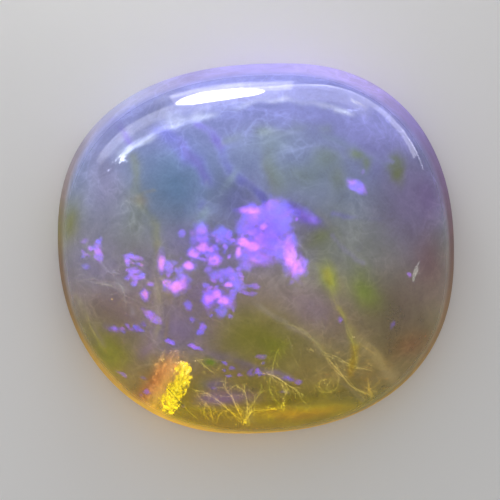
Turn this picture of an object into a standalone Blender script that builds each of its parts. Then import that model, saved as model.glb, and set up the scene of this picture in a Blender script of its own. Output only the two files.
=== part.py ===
"""Fire opal: one polished stone, a cushion-shaped cabochon lying on its flat back.

Metres, +Z up. The origin is at the middle of the flat back. +X is the long way of the stone,
and +Y is the side that is up when the stone is shown on its edge.
"""

import math

import bpy

# Driving dimensions, in metres
LENGTH = 0.0160
WIDTH = 0.0150
HEIGHT = 0.0056
WALL_TOP = 0.0022        # height of the soft crease between the wall and the dome
EDGE_RADIUS = 0.00035    # rounding between the flat back and the wall
CREASE_REACH = 0.00025   # how far the crease's rounding runs along the wall and the dome

# The stone was cut by eye, so its four farthest points are off its middle lines
TOP_X = 0.00120          # X of the point farthest along +Y
BOTTOM_X = -0.00067      # X of the point farthest along -Y
RIGHT_Y = -0.00022       # Y of the point farthest along +X
LEFT_Y = 0.00042         # Y of the point farthest along -X

# Fullness of each quarter of the outline: 2 is an ellipse, more is squarer
UPPER_RIGHT = 2.27
UPPER_LEFT = 2.42
LOWER_LEFT = 2.12
LOWER_RIGHT = 2.34

WALL_LEAN = math.radians(12)    # how far the wall leans in from upright
DOME_FULLNESS = 2.05            # of the dome's profile, as for the outline
DOME_START = math.radians(32)   # where on its superellipse the dome's profile starts

# Fineness of the solid
TURN_STEPS = 72
DOME_RINGS = 16
CREASE_RINGS = 3
EDGE_STEP = math.radians(17)

HALF_LENGTH = LENGTH / 2
HALF_WIDTH = WIDTH / 2


def outline_point(angle):
    """A point of the outline: four superellipse quarters that meet at the farthest points."""
    across, along = math.cos(angle), math.sin(angle)
    right, upper = across >= 0, along >= 0
    if upper:
        fullness = UPPER_RIGHT if right else UPPER_LEFT
    else:
        fullness = LOWER_RIGHT if right else LOWER_LEFT
    middle_x = TOP_X if upper else BOTTOM_X
    middle_y = RIGHT_Y if right else LEFT_Y
    reach_x = math.copysign(HALF_LENGTH, across) - middle_x
    reach_y = math.copysign(HALF_WIDTH, along) - middle_y
    x = middle_x + reach_x * abs(across) ** (2 / fullness)
    y = middle_y + reach_y * abs(along) ** (2 / fullness)
    return x, y


def ring_point(share, angle):
    """A point that share of the way out from the middle: rings are rounder towards the middle."""
    round_x, round_y = HALF_LENGTH * math.cos(angle), HALF_WIDTH * math.sin(angle)
    x, y = outline_point(angle)
    squareness = share**2
    return (
        share * (round_x + (x - round_x) * squareness),
        share * (round_y + (y - round_y) * squareness),
    )


def dome_profile(crease_radius):
    """Radius and height from the top of the dome down to the crease."""
    power = 2 / DOME_FULLNESS
    base_radius = crease_radius / math.cos(DOME_START) ** power
    rise = (HEIGHT - WALL_TOP) / (1 - math.sin(DOME_START) ** power)
    points = [(0.0, HEIGHT)]
    for ring in range(1, DOME_RINGS + 1):
        angle = math.pi / 2 - (math.pi / 2 - DOME_START) * ring / DOME_RINGS
        points.append(
            (base_radius * math.cos(angle) ** power, HEIGHT - rise * (1 - math.sin(angle) ** power))
        )
    return points


def edge_profile():
    """Radius and height round the lower edge, from the foot of the wall to the flat back."""
    angles = [WALL_LEAN]
    steps = round((math.pi / 2) / EDGE_STEP)
    angles += [-math.pi / 2 * step / steps for step in range(steps + 1)]
    middle = HALF_LENGTH - EDGE_RADIUS
    return [
        (middle + EDGE_RADIUS * math.cos(angle), EDGE_RADIUS + EDGE_RADIUS * math.sin(angle))
        for angle in angles
    ]


def towards(start, end, distance):
    """The point that far from start on the way to end."""
    share = distance / math.dist(start, end)
    return tuple(a + (b - a) * share for a, b in zip(start, end))


def rounded_corner(before, corner, after):
    """Points of a curve that leaves one line and meets the next in place of their corner."""
    start = towards(corner, before, CREASE_REACH)
    end = towards(corner, after, CREASE_REACH)
    points = []
    for ring in range(CREASE_RINGS + 1):
        share = ring / CREASE_RINGS
        points.append(
            tuple(
                (1 - share) ** 2 * a + 2 * share * (1 - share) * b + share**2 * c
                for a, b, c in zip(start, corner, end)
            )
        )
    return points


def stone_profile():
    """Half of the stone's section, down its outer side from the top to the middle of the back."""
    edge = edge_profile()
    wall_foot = edge[0]
    crease_radius = wall_foot[0] - (WALL_TOP - wall_foot[1]) * math.tan(WALL_LEAN)
    dome = dome_profile(crease_radius)
    crease = rounded_corner(dome[-2], dome[-1], wall_foot)
    return dome[:-1] + crease + edge + [(0.0, 0.0)]


def turned_stone(profile):
    """The profile turned once round Z, as a new mesh of a round stone."""
    mesh = bpy.data.meshes.new("stone_profile")
    vertices = [(radius, 0.0, height) for radius, height in profile]
    edges = [(i, i + 1) for i in range(len(vertices) - 1)]
    mesh.from_pydata(vertices, edges, [])
    guide = bpy.data.objects.new("stone_profile", mesh)
    bpy.context.scene.collection.objects.link(guide)
    screw = guide.modifiers.new("Turn", "SCREW")
    screw.steps = TURN_STEPS
    screw.render_steps = TURN_STEPS
    screw.use_merge_vertices = True
    screw.merge_threshold = 1e-7
    evaluated = guide.evaluated_get(bpy.context.evaluated_depsgraph_get())
    turned = bpy.data.meshes.new_from_object(evaluated)
    bpy.data.objects.remove(guide)
    return turned


def shape_to_outline(mesh):
    """Moves each ring of the round stone out to the cushion outline, at its own height."""
    for vertex in mesh.vertices:
        share = math.hypot(vertex.co.x, vertex.co.y) / HALF_LENGTH
        angle = math.atan2(vertex.co.y, vertex.co.x)
        vertex.co.x, vertex.co.y = ring_point(share, angle)


def opal_material():
    """Polished opal: hazy grey-lavender to olive, half clear, with a glassy surface."""
    material = bpy.data.materials.new("polished opal")
    material.use_nodes = True
    shader = material.node_tree.nodes["Principled BSDF"]
    shader.inputs["Base Color"].default_value = (0.20, 0.19, 0.26, 1.0)
    shader.inputs["Metallic"].default_value = 0.0
    shader.inputs["Roughness"].default_value = 0.05
    shader.inputs["IOR"].default_value = 1.45
    shader.inputs["Transmission Weight"].default_value = 0.5
    return material


def make_opal(collection):
    """The stone: a flat back, a low wall that leans in, and a dome."""
    mesh = turned_stone(stone_profile())
    shape_to_outline(mesh)
    mesh.name = "opal"
    mesh.materials.append(opal_material())
    mesh.shade_smooth()
    mesh.set_sharp_from_angle(angle=math.radians(35))
    collection.objects.link(bpy.data.objects.new("opal", mesh))


for old in list(bpy.data.objects):
    bpy.data.objects.remove(old)
fire_opal = bpy.data.collections.new("fire opal")
bpy.context.scene.collection.children.link(fire_opal)
make_opal(fire_opal)
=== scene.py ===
# %% [markdown]
# Fire opal, a polished cushion-shaped stone 16 mm long. The stone is hazy and half see-through,
# so most of its look is inside it: violet and pink flashes, pale fibres, a golden flaw and soft
# clouds of colour. This lesson makes the outer skin first, then what lies inside, then the studio.
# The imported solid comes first, because every size and place is worked out from it.

# %% Load the frame
import math
import random

import bmesh
import bpy
import numpy as np
from mathutils import Matrix, Vector, noise
from mathutils.bvhtree import BVHTree


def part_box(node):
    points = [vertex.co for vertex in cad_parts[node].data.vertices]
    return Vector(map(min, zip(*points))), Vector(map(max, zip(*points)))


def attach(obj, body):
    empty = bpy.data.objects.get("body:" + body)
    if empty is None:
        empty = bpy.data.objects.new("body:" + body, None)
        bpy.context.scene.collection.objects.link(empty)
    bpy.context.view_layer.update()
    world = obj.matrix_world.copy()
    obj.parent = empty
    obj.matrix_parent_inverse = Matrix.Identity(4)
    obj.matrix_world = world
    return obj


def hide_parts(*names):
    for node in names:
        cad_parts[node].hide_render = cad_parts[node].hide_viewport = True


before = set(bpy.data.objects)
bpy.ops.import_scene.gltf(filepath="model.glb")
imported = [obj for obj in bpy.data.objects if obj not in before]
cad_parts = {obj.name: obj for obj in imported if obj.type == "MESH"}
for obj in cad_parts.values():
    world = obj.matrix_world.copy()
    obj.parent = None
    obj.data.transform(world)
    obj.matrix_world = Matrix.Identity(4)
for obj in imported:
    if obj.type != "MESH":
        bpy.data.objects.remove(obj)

MM = 0.001
noise.seed_set(5)  # so that every run draws the same stone
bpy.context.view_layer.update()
low, high = (Vector(corner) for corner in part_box("opal"))
LENGTH, WIDTH, HEIGHT = high - low
print("stone, mm:", [round(side / MM, 2) for side in (LENGTH, WIDTH, HEIGHT)])

# %% [markdown]
# A few small helpers are used all the way down. Colours are written as sRGB hex, as a painter
# picks them, and Blender's shaders want linear light. One function adds a node of any kind with
# its settings and its links. The others wrap the kinds of node that come up again and again, which
# keeps a material or a Geometry Nodes tree short to read.

# %% Helpers for colours and nodes
def linear(hex_colour):
    """The linear red, green and blue of an sRGB hex colour."""
    channels = [int(hex_colour[i : i + 2], 16) / 255 for i in (1, 3, 5)]
    return tuple(c / 12.92 if c <= 0.04045 else ((c + 0.055) / 1.055) ** 2.4 for c in channels)


def add_node(tree, kind, settings=None, inputs=None):
    """A new node. An input, by name or number, is a plain value or another node's output."""
    node = tree.nodes.new(kind)
    for name, value in (settings or {}).items():
        setattr(node, name, value)
    for key, value in (inputs or {}).items():
        if isinstance(value, bpy.types.NodeSocket):
            tree.links.new(value, node.inputs[key])
        else:
            node.inputs[key].default_value = value
    return node


def calculate(tree, operation, *values):
    """The result of a Math node."""
    inputs = dict(enumerate(values))
    return add_node(tree, "ShaderNodeMath", {"operation": operation}, inputs).outputs[0]


def calculate_vector(tree, operation, *values, output="Vector"):
    """The result of a Vector Math node."""
    inputs = dict(enumerate(values))
    return add_node(tree, "ShaderNodeVectorMath", {"operation": operation}, inputs).outputs[output]


def scaled(tree, vector, factor):
    """A vector or a colour, times a number."""
    inputs = {0: vector, "Scale": factor}
    return add_node(tree, "ShaderNodeVectorMath", {"operation": "SCALE"}, inputs).outputs[0]


def stored(tree, name, output="Fac"):
    """What the mesh keeps at each point under this name, for a material."""
    return add_node(tree, "ShaderNodeAttribute", {"attribute_name": name}).outputs[output]


def soft_noise(tree, place, size, detail, roughness=0.5, distortion=0.0, output="Fac"):
    """Noise with blobs of about this size in mm."""
    return add_node(tree, "ShaderNodeTexNoise", None, {
        "Vector": place, "Scale": 1 / (size * MM), "Detail": detail,
        "Roughness": roughness, "Distortion": distortion,
    }).outputs[output]


def eased(tree, value, start, end, from_value, to_value):
    """A change from one value to another while the input goes from start to end."""
    return add_node(tree, "ShaderNodeMapRange", {"interpolation_type": "SMOOTHSTEP"}, {
        "Value": value, "From Min": start, "From Max": end, "To Min": from_value, "To Max": to_value,
    }).outputs[0]


def colour_ramp(tree, value, stops):
    """The colour that the value picks between stops of (place, hex colour)."""
    ramp = add_node(tree, "ShaderNodeValToRGB", None, {"Fac": value})
    elements = ramp.color_ramp.elements
    for number, (where, colour) in ((0, stops[0]), (1, stops[-1])):
        elements[number].position = where
        elements[number].color = (*linear(colour), 1)
    for where, colour in stops[1:-1]:
        elements.new(where).color = (*linear(colour), 1)
    return ramp.outputs[0]


def new_finish(name):
    """A new material, with its node tree and its main shader."""
    material = bpy.data.materials.new(name)
    material.use_nodes = True
    return material, material.node_tree, material.node_tree.nodes["Principled BSDF"]


def new_object(name, mesh):
    """An object in the scene at the origin, unturned and unscaled."""
    made = bpy.data.objects.new(name, mesh)
    bpy.context.scene.collection.objects.link(made)
    return made


print("middle grey as linear light:", [round(channel, 3) for channel in linear("#808080")])

# %% [markdown]
# The camera comes before the pieces, because what lies inside the stone is placed by where it
# shows. The photograph looks almost square onto the dome, leaning about five degrees towards the
# upper edge, which shows more of the wall there. A long lens keeps the sides from spreading.

# %% Camera
FRAME_WIDTH = 20.2 * MM      # what the picture's 500 pixels cover at the stone
TILT = math.radians(5)       # how far the view leans towards the upper edge
ASIDE = Vector((-0.24, -0.02)) * MM  # the middle of the picture, seen from the stone's middle
LENS = 200.0
SENSOR = 36.0
EDGE_RADIUS = 0.35 * MM

middle = Vector(((low.x + high.x) / 2, (low.y + high.y) / 2, low.z + EDGE_RADIUS))
view_back = Vector((0, math.sin(TILT), math.cos(TILT)))
view_right = Vector((1, 0, 0))
view_up = view_back.cross(view_right)
view_distance = FRAME_WIDTH * LENS / SENSOR
aim = middle + view_right * ASIDE.x + view_up * ASIDE.y

camera = bpy.data.objects.new("camera", bpy.data.cameras.new("camera"))
camera.data.lens = LENS
camera.data.sensor_width = SENSOR
camera.data.clip_start = view_distance * 0.1
camera.data.clip_end = view_distance * 40
camera.matrix_world = Matrix.Translation(aim + view_back * view_distance) @ Matrix(
    (view_right, view_up, view_back)
).transposed().to_4x4()
bpy.context.scene.collection.objects.link(camera)
bpy.context.scene.camera = camera
print("camera distance, mm:", round(view_distance / MM))

# %% [markdown]
# The stone's skin has the section and the outline that it was cut to. The section is a flat back,
# a rounded lower edge, a wall that leans in and a dome. The outline is four superellipse quarters,
# because a stone cut by eye is a little uneven. Both are worked out as points, and Geometry Nodes
# loft them: the skin follows a rule, so a tree that reads the two curves makes it at any fineness.

# %% Sizes of the section and the outline
WALL_TOP = 2.2 * MM
CREASE_REACH = 0.25 * MM
WALL_LEAN = math.radians(12)
DOME_FULLNESS = 2.05
DOME_START = math.radians(32)
TOP_X, BOTTOM_X = 1.20 * MM, -0.67 * MM
RIGHT_Y, LEFT_Y = -0.22 * MM, 0.42 * MM
FULLNESS = {  # of each quarter of the outline: 2 is an ellipse, more is squarer
    ("right", "upper"): 2.27, ("left", "upper"): 2.42,
    ("left", "lower"): 2.12, ("right", "lower"): 2.34,
}
TURN_STEPS = 384
DOME_RINGS, CREASE_RINGS, WALL_RINGS, EDGE_RINGS, BACK_RINGS = 104, 6, 8, 8, 24
HALF_LENGTH, HALF_WIDTH = LENGTH / 2, WIDTH / 2
print("wall, mm:", round(WALL_TOP / MM, 2), "dome, mm:", round((HEIGHT - WALL_TOP) / MM, 2))


# %% Section and outline of the stone
def outline_point(angle):
    """A point of the outline, which runs once round with the angle."""
    across, along = math.cos(angle), math.sin(angle)
    side, end = ("right" if across >= 0 else "left"), ("upper" if along >= 0 else "lower")
    power = 2 / FULLNESS[side, end]
    middle_x = TOP_X if end == "upper" else BOTTOM_X
    middle_y = RIGHT_Y if side == "right" else LEFT_Y
    reach_x = math.copysign(HALF_LENGTH, across) - middle_x
    reach_y = math.copysign(HALF_WIDTH, along) - middle_y
    return (middle_x + reach_x * abs(across) ** power, middle_y + reach_y * abs(along) ** power, 0)


def even_steps(start, end, count):
    """Points after start up to end, evenly spaced."""
    return [Vector(start).lerp(Vector(end), (i + 1) / count) for i in range(count)]


def edge_point(angle):
    """Radius and height on the rounded lower edge, at this angle up from level."""
    return Vector((
        HALF_LENGTH - EDGE_RADIUS * (1 - math.cos(angle)), EDGE_RADIUS * (1 + math.sin(angle))
    ))


def section():
    """Radius and height from the top of the dome, down the outer side, to the middle of the back."""
    foot = edge_point(WALL_LEAN)
    crease = Vector((foot.x - (WALL_TOP - foot.y) * math.tan(WALL_LEAN), WALL_TOP))
    power = 2 / DOME_FULLNESS
    base_radius = crease.x / math.cos(DOME_START) ** power
    rise = (HEIGHT - WALL_TOP) / (1 - math.sin(DOME_START) ** power)
    points = []
    for ring in range(DOME_RINGS):
        angle = math.pi / 2 - (math.pi / 2 - DOME_START) * ring / DOME_RINGS
        fall = rise * (1 - math.sin(angle) ** power)
        radius = base_radius * math.cos(angle) ** power if ring else 0
        point = Vector((radius, HEIGHT - fall if ring else HEIGHT))
        if (crease - point).length > CREASE_REACH:
            points.append(point)
    before = crease + (points[-1] - crease).normalized() * CREASE_REACH
    after = crease + (foot - crease).normalized() * CREASE_REACH
    for ring in range(CREASE_RINGS + 1):
        share = ring / CREASE_RINGS
        points.append(before * (1 - share) ** 2 + crease * 2 * share * (1 - share) + after * share**2)
    points += even_steps(after, foot, WALL_RINGS)
    points += [edge_point(-math.pi / 2 * ring / EDGE_RINGS) for ring in range(EDGE_RINGS + 1)]
    return points + even_steps(points[-1], (0, 0), BACK_RINGS)


def points_mesh(name, points):
    """A mesh of loose points, for a tree to read."""
    mesh = bpy.data.meshes.new(name)
    mesh.from_pydata([tuple(p) for p in points], [], [])
    return mesh


rings = section()
print("rings:", len(rings), "steps round:", TURN_STEPS)

# %% [markdown]
# The loft starts from a flat grid with one row for each ring. Each grid point looks up its ring in
# the section and its place in the outline by index, so no point is rounded off. Rings near the top
# of the dome are rounder than the outline, as polishing leaves them.

# %% Functions that start, end and run a tree
SEAM_GAP = 1e-7  # metres: points this close are one point


def finish_tree(tree, geometry, given, out):
    """Makes the instances real and gives them the material, which ends each tree here."""
    real = add_node(tree, "GeometryNodeRealizeInstances", None, {"Geometry": geometry})
    coated = add_node(tree, "GeometryNodeSetMaterial", None, {
        "Geometry": real.outputs[0], "Material": given.outputs["Material"],
    })
    tree.links.new(coated.outputs[0], out.inputs["Geometry"])


def tree_with_inputs(name, inputs):
    """An empty Geometry Nodes tree with a geometry output and the named inputs."""
    tree = bpy.data.node_groups.new(name, "GeometryNodeTree")
    tree.interface.new_socket("Geometry", in_out="INPUT", socket_type="NodeSocketGeometry")
    tree.interface.new_socket("Geometry", in_out="OUTPUT", socket_type="NodeSocketGeometry")
    for label, kind in inputs.items():
        tree.interface.new_socket(label, in_out="INPUT", socket_type=kind)
    return tree, tree.nodes.new("NodeGroupInput"), tree.nodes.new("NodeGroupOutput")


def grown(name, source, tree, values):
    """A plain mesh object made by running the tree on the source mesh with these input values."""
    made = new_object(name, source)
    modifier = made.modifiers.new("Grow", "NODES")
    modifier.node_group = tree
    for socket in tree.interface.items_tree:
        if socket.in_out == "INPUT" and socket.name in values:
            modifier[socket.identifier] = values[socket.name]
    evaluated = made.evaluated_get(bpy.context.evaluated_depsgraph_get())
    mesh = bpy.data.meshes.new_from_object(evaluated)
    made.modifiers.remove(modifier)
    made.data = mesh
    mesh.name = name
    return made


# %% The tree that lofts the skin
def loft_tree():
    """Grid rows become rings: each is the outline, scaled and lifted as the section says."""
    tree, given, out = tree_with_inputs("loft skin", {
        "Outline": "NodeSocketObject",
        "Steps Round": "NodeSocketInt",
        "Rings": "NodeSocketInt",
        "Half Length": "NodeSocketFloat",
        "Half Width": "NodeSocketFloat",
        "Material": "NodeSocketMaterial",
    })
    steps, half_length = given.outputs["Steps Round"], given.outputs["Half Length"]
    points_round = calculate(tree, "ADD", steps, 1.0)
    grid = add_node(tree, "GeometryNodeMeshGrid", None, {
        "Vertices X": given.outputs["Rings"], "Vertices Y": points_round,
    }).outputs["Mesh"]
    index = add_node(tree, "GeometryNodeInputIndex").outputs[0]
    ring = calculate(tree, "FLOOR", calculate(tree, "DIVIDE", index, points_round))
    turn = calculate(tree, "MODULO", calculate(tree, "MODULO", index, points_round), steps)
    position = add_node(tree, "GeometryNodeInputPosition").outputs[0]
    outline = add_node(tree, "GeometryNodeObjectInfo", None, {
        "Object": given.outputs["Outline"],
    }).outputs["Geometry"]
    by_point = {"data_type": "FLOAT_VECTOR", "domain": "POINT"}
    section_at = add_node(tree, "GeometryNodeSampleIndex", by_point, {
        "Geometry": given.outputs["Geometry"], "Value": position, "Index": ring,
    }).outputs[0]
    outline_at = add_node(tree, "GeometryNodeSampleIndex", by_point, {
        "Geometry": outline, "Value": position, "Index": turn,
    }).outputs[0]
    section_parts = add_node(tree, "ShaderNodeSeparateXYZ", None, {0: section_at})
    share = calculate(tree, "DIVIDE", section_parts.outputs["X"], half_length)
    angle = calculate(tree, "MULTIPLY", calculate(tree, "DIVIDE", turn, steps), math.tau)
    oval_at = add_node(tree, "ShaderNodeCombineXYZ", None, {
        "X": calculate(tree, "MULTIPLY", calculate(tree, "COSINE", angle), half_length),
        "Y": calculate(tree, "MULTIPLY", calculate(tree, "SINE", angle), given.outputs["Half Width"]),
    }).outputs[0]
    ring_shape = add_node(tree, "ShaderNodeMix", {"data_type": "VECTOR"}, {
        "Factor": calculate(tree, "MULTIPLY", share, share), 4: oval_at, 5: outline_at,
    }).outputs[1]
    lift = add_node(tree, "ShaderNodeCombineXYZ", None, {"Z": section_parts.outputs["Z"]}).outputs[0]
    place = calculate_vector(tree, "ADD", scaled(tree, ring_shape, share), lift)
    moved = add_node(tree, "GeometryNodeSetPosition", None, {"Geometry": grid, "Position": place})
    kept_share = add_node(
        tree, "GeometryNodeStoreNamedAttribute", {"data_type": "FLOAT", "domain": "POINT"},
        {"Geometry": moved.outputs[0], "Name": "ring_share", "Value": share},
    )
    closed = add_node(tree, "GeometryNodeMergeByDistance", None, {
        "Geometry": kept_share.outputs[0], "Distance": SEAM_GAP,
    })
    smooth = add_node(tree, "GeometryNodeSetShadeSmooth", None, {"Geometry": closed.outputs[0]})
    finish_tree(tree, smooth.outputs[0], given, out)
    return tree


skin_source = points_mesh("section", [(p.x, 0, p.y) for p in rings])
outline_guide = new_object("outline", points_mesh("outline", [
    outline_point(math.tau * turn / TURN_STEPS) for turn in range(TURN_STEPS)
]))
print("points in the section and the outline:", len(skin_source.vertices), TURN_STEPS)

# %% [markdown]
# Opal is hydrated silica glass. Its haze is a scatter of tiny spheres that sends blue light back
# and lets yellow through, so the stone is lavender where light falls on it and golden where light
# leaves it. A painter would lay that in as clouds of colour, from the top edge to the bottom one,
# and that is done here as painted light: each point of the skin gets a colour from a few named soft
# clouds, kept in an attribute of the mesh. A second attribute says how clear the stone is there.

# %% Where a point of the stone shows
camera_place = Vector(camera.matrix_world.translation)


def shown_at(points):
    """Where points show from the camera, in mm right of and above the stone's middle."""
    away = points - np.array(camera_place)
    depth = -(away @ np.array(view_back))
    right = (away @ np.array(view_right)) * view_distance / depth + ASIDE.x
    up = (away @ np.array(view_up)) * view_distance / depth + ASIDE.y
    return right / MM, up / MM


def srgb(hex_colour):
    """The red, green and blue of an sRGB hex colour, from 0 to 1."""
    return np.array([int(hex_colour[i : i + 2], 16) / 255 for i in (1, 3, 5)])


def to_linear(colours):
    """Linear light for an array of sRGB values."""
    return np.where(colours <= 0.04045, colours / 12.92, ((colours + 0.055) / 1.055) ** 2.4)


print("the stone's top shows at, mm:", [
    round(float(side[0]), 2) for side in shown_at(np.array([[middle.x, middle.y, high.z]]))
])

# %% [markdown]
# The clouds are given in millimetres right of and above the stone's middle as it is seen. A
# cloud has its middle, its half sizes, its turn in degrees, its colour and its strength. Under
# them the colour goes from gold at the lower edge to lavender at the upper one.

# %% Colours by height, and the clouds
# Painted light as well as colour: gold low down, where light leaves the stone, and lavender high up,
# where light falls on it
HEIGHT_COLOURS_AND_PAINTED_LIGHT = [
    (-7.4, "#c8b000"), (-6.9, "#b0a000"), (-6.4, "#8a8410"), (-5.8, "#7a7630"), (-5.0, "#807648"),
    (-3.6, "#7d794a"), (-2.0, "#80796a"), (0.0, "#84897f"), (1.6, "#7d8994"), (3.4, "#7c8ab0"),
    (4.8, "#8890c8"), (6.4, "#9298e0"),
]
CLOUDS = {
    "slate window": (-3.1, 2.7, 1.5, 1.5, 0, "#5a7796", 0.85),
    "slate triangle": (-0.8, 2.0, 0.7, 1.0, 0, "#5c648c", 0.8),
    "upper left grey": (-4.2, 5.5, 1.2, 0.6, 35, "#7c8298", 0.6),
    "left lavender": (-6.2, 2.6, 1.0, 1.8, 0, "#8a86a8", 0.7),
    "upper right lavender": (4.6, 4.4, 1.7, 1.2, -25, "#8e8bd0", 0.7),
    # Painted light: the pale glow of the lit zone under the upper right edge
    "upper right painted light": (5.3, 4.9, 1.6, 1.0, -40, "#b0b4ff", 0.85),
    "right edge brown": (7.0, -0.3, 0.8, 1.5, 0, "#6c4e4c", 0.8),
    "right edge purple": (7.0, 2.2, 0.9, 1.1, 0, "#82699f", 0.75),
    "left edge olive": (-7.55, 0.8, 0.4, 0.9, 0, "#7c803c", 0.85),
    "low left gold": (-5.9, -5.0, 0.5, 1.0, 40, "#8c7c30", 0.8),
    # Painted light: the pale glow of the lit zone under the upper edge
    "upper middle painted light": (2.6, 5.4, 1.8, 0.8, -10, "#a0a4ea", 0.5),
    "right purple grey": (6.0, 1.6, 1.2, 2.4, 0, "#766b90", 0.8),
    "lower right brown": (5.4, -2.4, 1.6, 1.8, 0, "#60544a", 0.85),
    "centre right grey": (4.0, 0.0, 1.6, 1.5, 0, "#7c8484", 0.75),
    "lower left brown": (-5.9, -2.3, 1.1, 1.2, 0, "#6c5e52", 0.75),
    "left grey": (-6.5, -0.5, 1.3, 1.4, 0, "#7e7c98", 0.8),
    "green haze": (0.9, 4.2, 1.3, 0.5, 10, "#8498a0", 0.6),
    "olive patch one": (1.9, 3.0, 0.8, 0.5, 0, "#74867c", 0.6),
    "olive patch two": (3.9, 3.9, 0.40, 0.26, -20, "#7e9466", 0.8),
    "olive patch two, right": (4.4, 3.6, 0.26, 0.30, 0, "#7c8e70", 0.75),
    "olive patch three": (5.65, 3.5, 0.28, 0.42, 5, "#76865c", 0.85),
    "olive patch three, foot": (5.8, 2.95, 0.20, 0.35, 0, "#747f50", 0.85),
    "olive patch four": (2.75, 3.6, 0.5, 0.45, 0, "#788a78", 0.6),
    "olive patch five": (3.3, 2.9, 0.4, 0.5, 0, "#788672", 0.6),
    "olive at the haze": (0.9, 3.0, 0.35, 0.9, 5, "#7c9080", 0.6),
    "green above the flashes": (2.55, 0.55, 0.45, 0.25, 15, "#8ea050", 0.8),
    "green flame": (2.9, -1.0, 0.35, 0.6, 10, "#8d9d3c", 0.85),
    "green beside it": (4.4, -1.7, 0.55, 0.9, 15, "#748838", 0.85),
    "haze low left": (-3.2, -3.3, 1.8, 1.0, -10, "#767096", 0.85),
    "slate low left": (-3.5, -4.0, 0.5, 0.3, 10, "#5e6484", 0.5),
    "violet low left": (-4.5, -4.0, 0.4, 0.6, -30, "#7a6a90", 0.5),
    "violet low one": (-1.4, -4.3, 0.8, 0.3, -15, "#70689c", 0.6),
    "violet low two": (-0.5, -4.9, 0.4, 0.3, 0, "#706498", 0.5),
    "violet low three": (-1.7, -5.6, 0.5, 0.3, 0, "#7468a8", 0.7),
    "violet low four": (-1.9, -6.3, 0.6, 0.25, 0, "#7468a8", 0.7),
    "lilac low five": (-1.1, -6.2, 1.0, 0.4, 0, "#806cb8", 0.75),
    "haze low right": (3.4, -3.5, 1.2, 0.7, -20, "#7c7468", 0.6),
    "green middle": (0.1, -3.4, 1.2, 0.8, 10, "#70742c", 0.8),
    "green lower middle": (0.8, -3.9, 0.5, 0.5, 0, "#717c22", 0.6),
    "lilac lower middle": (2.2, -2.4, 1.1, 0.8, -30, "#7d7184", 0.7),
    "small green": (-1.9, -4.6, 0.25, 0.2, 0, "#5f8f20", 0.8),
    "yellow green left": (-6.0, -4.2, 0.8, 0.7, -40, "#7c8618", 0.8),
    "olive right of flashes": (2.4, 0.5, 0.8, 0.7, 0, "#6d755c", 0.7),
    "orange beside the flaw": (-4.1, -5.4, 0.35, 1.0, -25, "#c88a50", 0.85),
    # Painted light: the gold glow where light leaves the stone low down
    "bottom glow": (1.6, -6.60, 2.0, 0.24, 6, "#e8b400", 0.9),
    "lower right warmth": (6.2, -3.8, 0.9, 0.5, 20, "#7c5434", 0.6),
    "tan spot": (-4.8, 1.9, 0.40, 0.22, 15, "#968670", 0.7),
    "green round the tan spot": (-5.0, 1.3, 0.5, 0.9, 0, "#7a8478", 0.6),
    "violet behind flashes": (0.6, 0.6, 1.3, 1.2, 0, "#7a66c8", 0.65),
    "band right of the flashes": (1.95, 1.4, 0.75, 0.26, -28, "#7c68c4", 0.7),
    "violet middle flashes": (-2.1, 0.0, 1.8, 1.1, -20, "#726aa8", 0.6),
    "violet lower flash": (-1.8, -1.9, 1.2, 0.7, 0, "#766aa0", 0.5),
    "violet left flashes": (-4.6, -1.0, 0.8, 1.0, 0, "#746c94", 0.5),
}
print("clouds:", len(CLOUDS))
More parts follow.
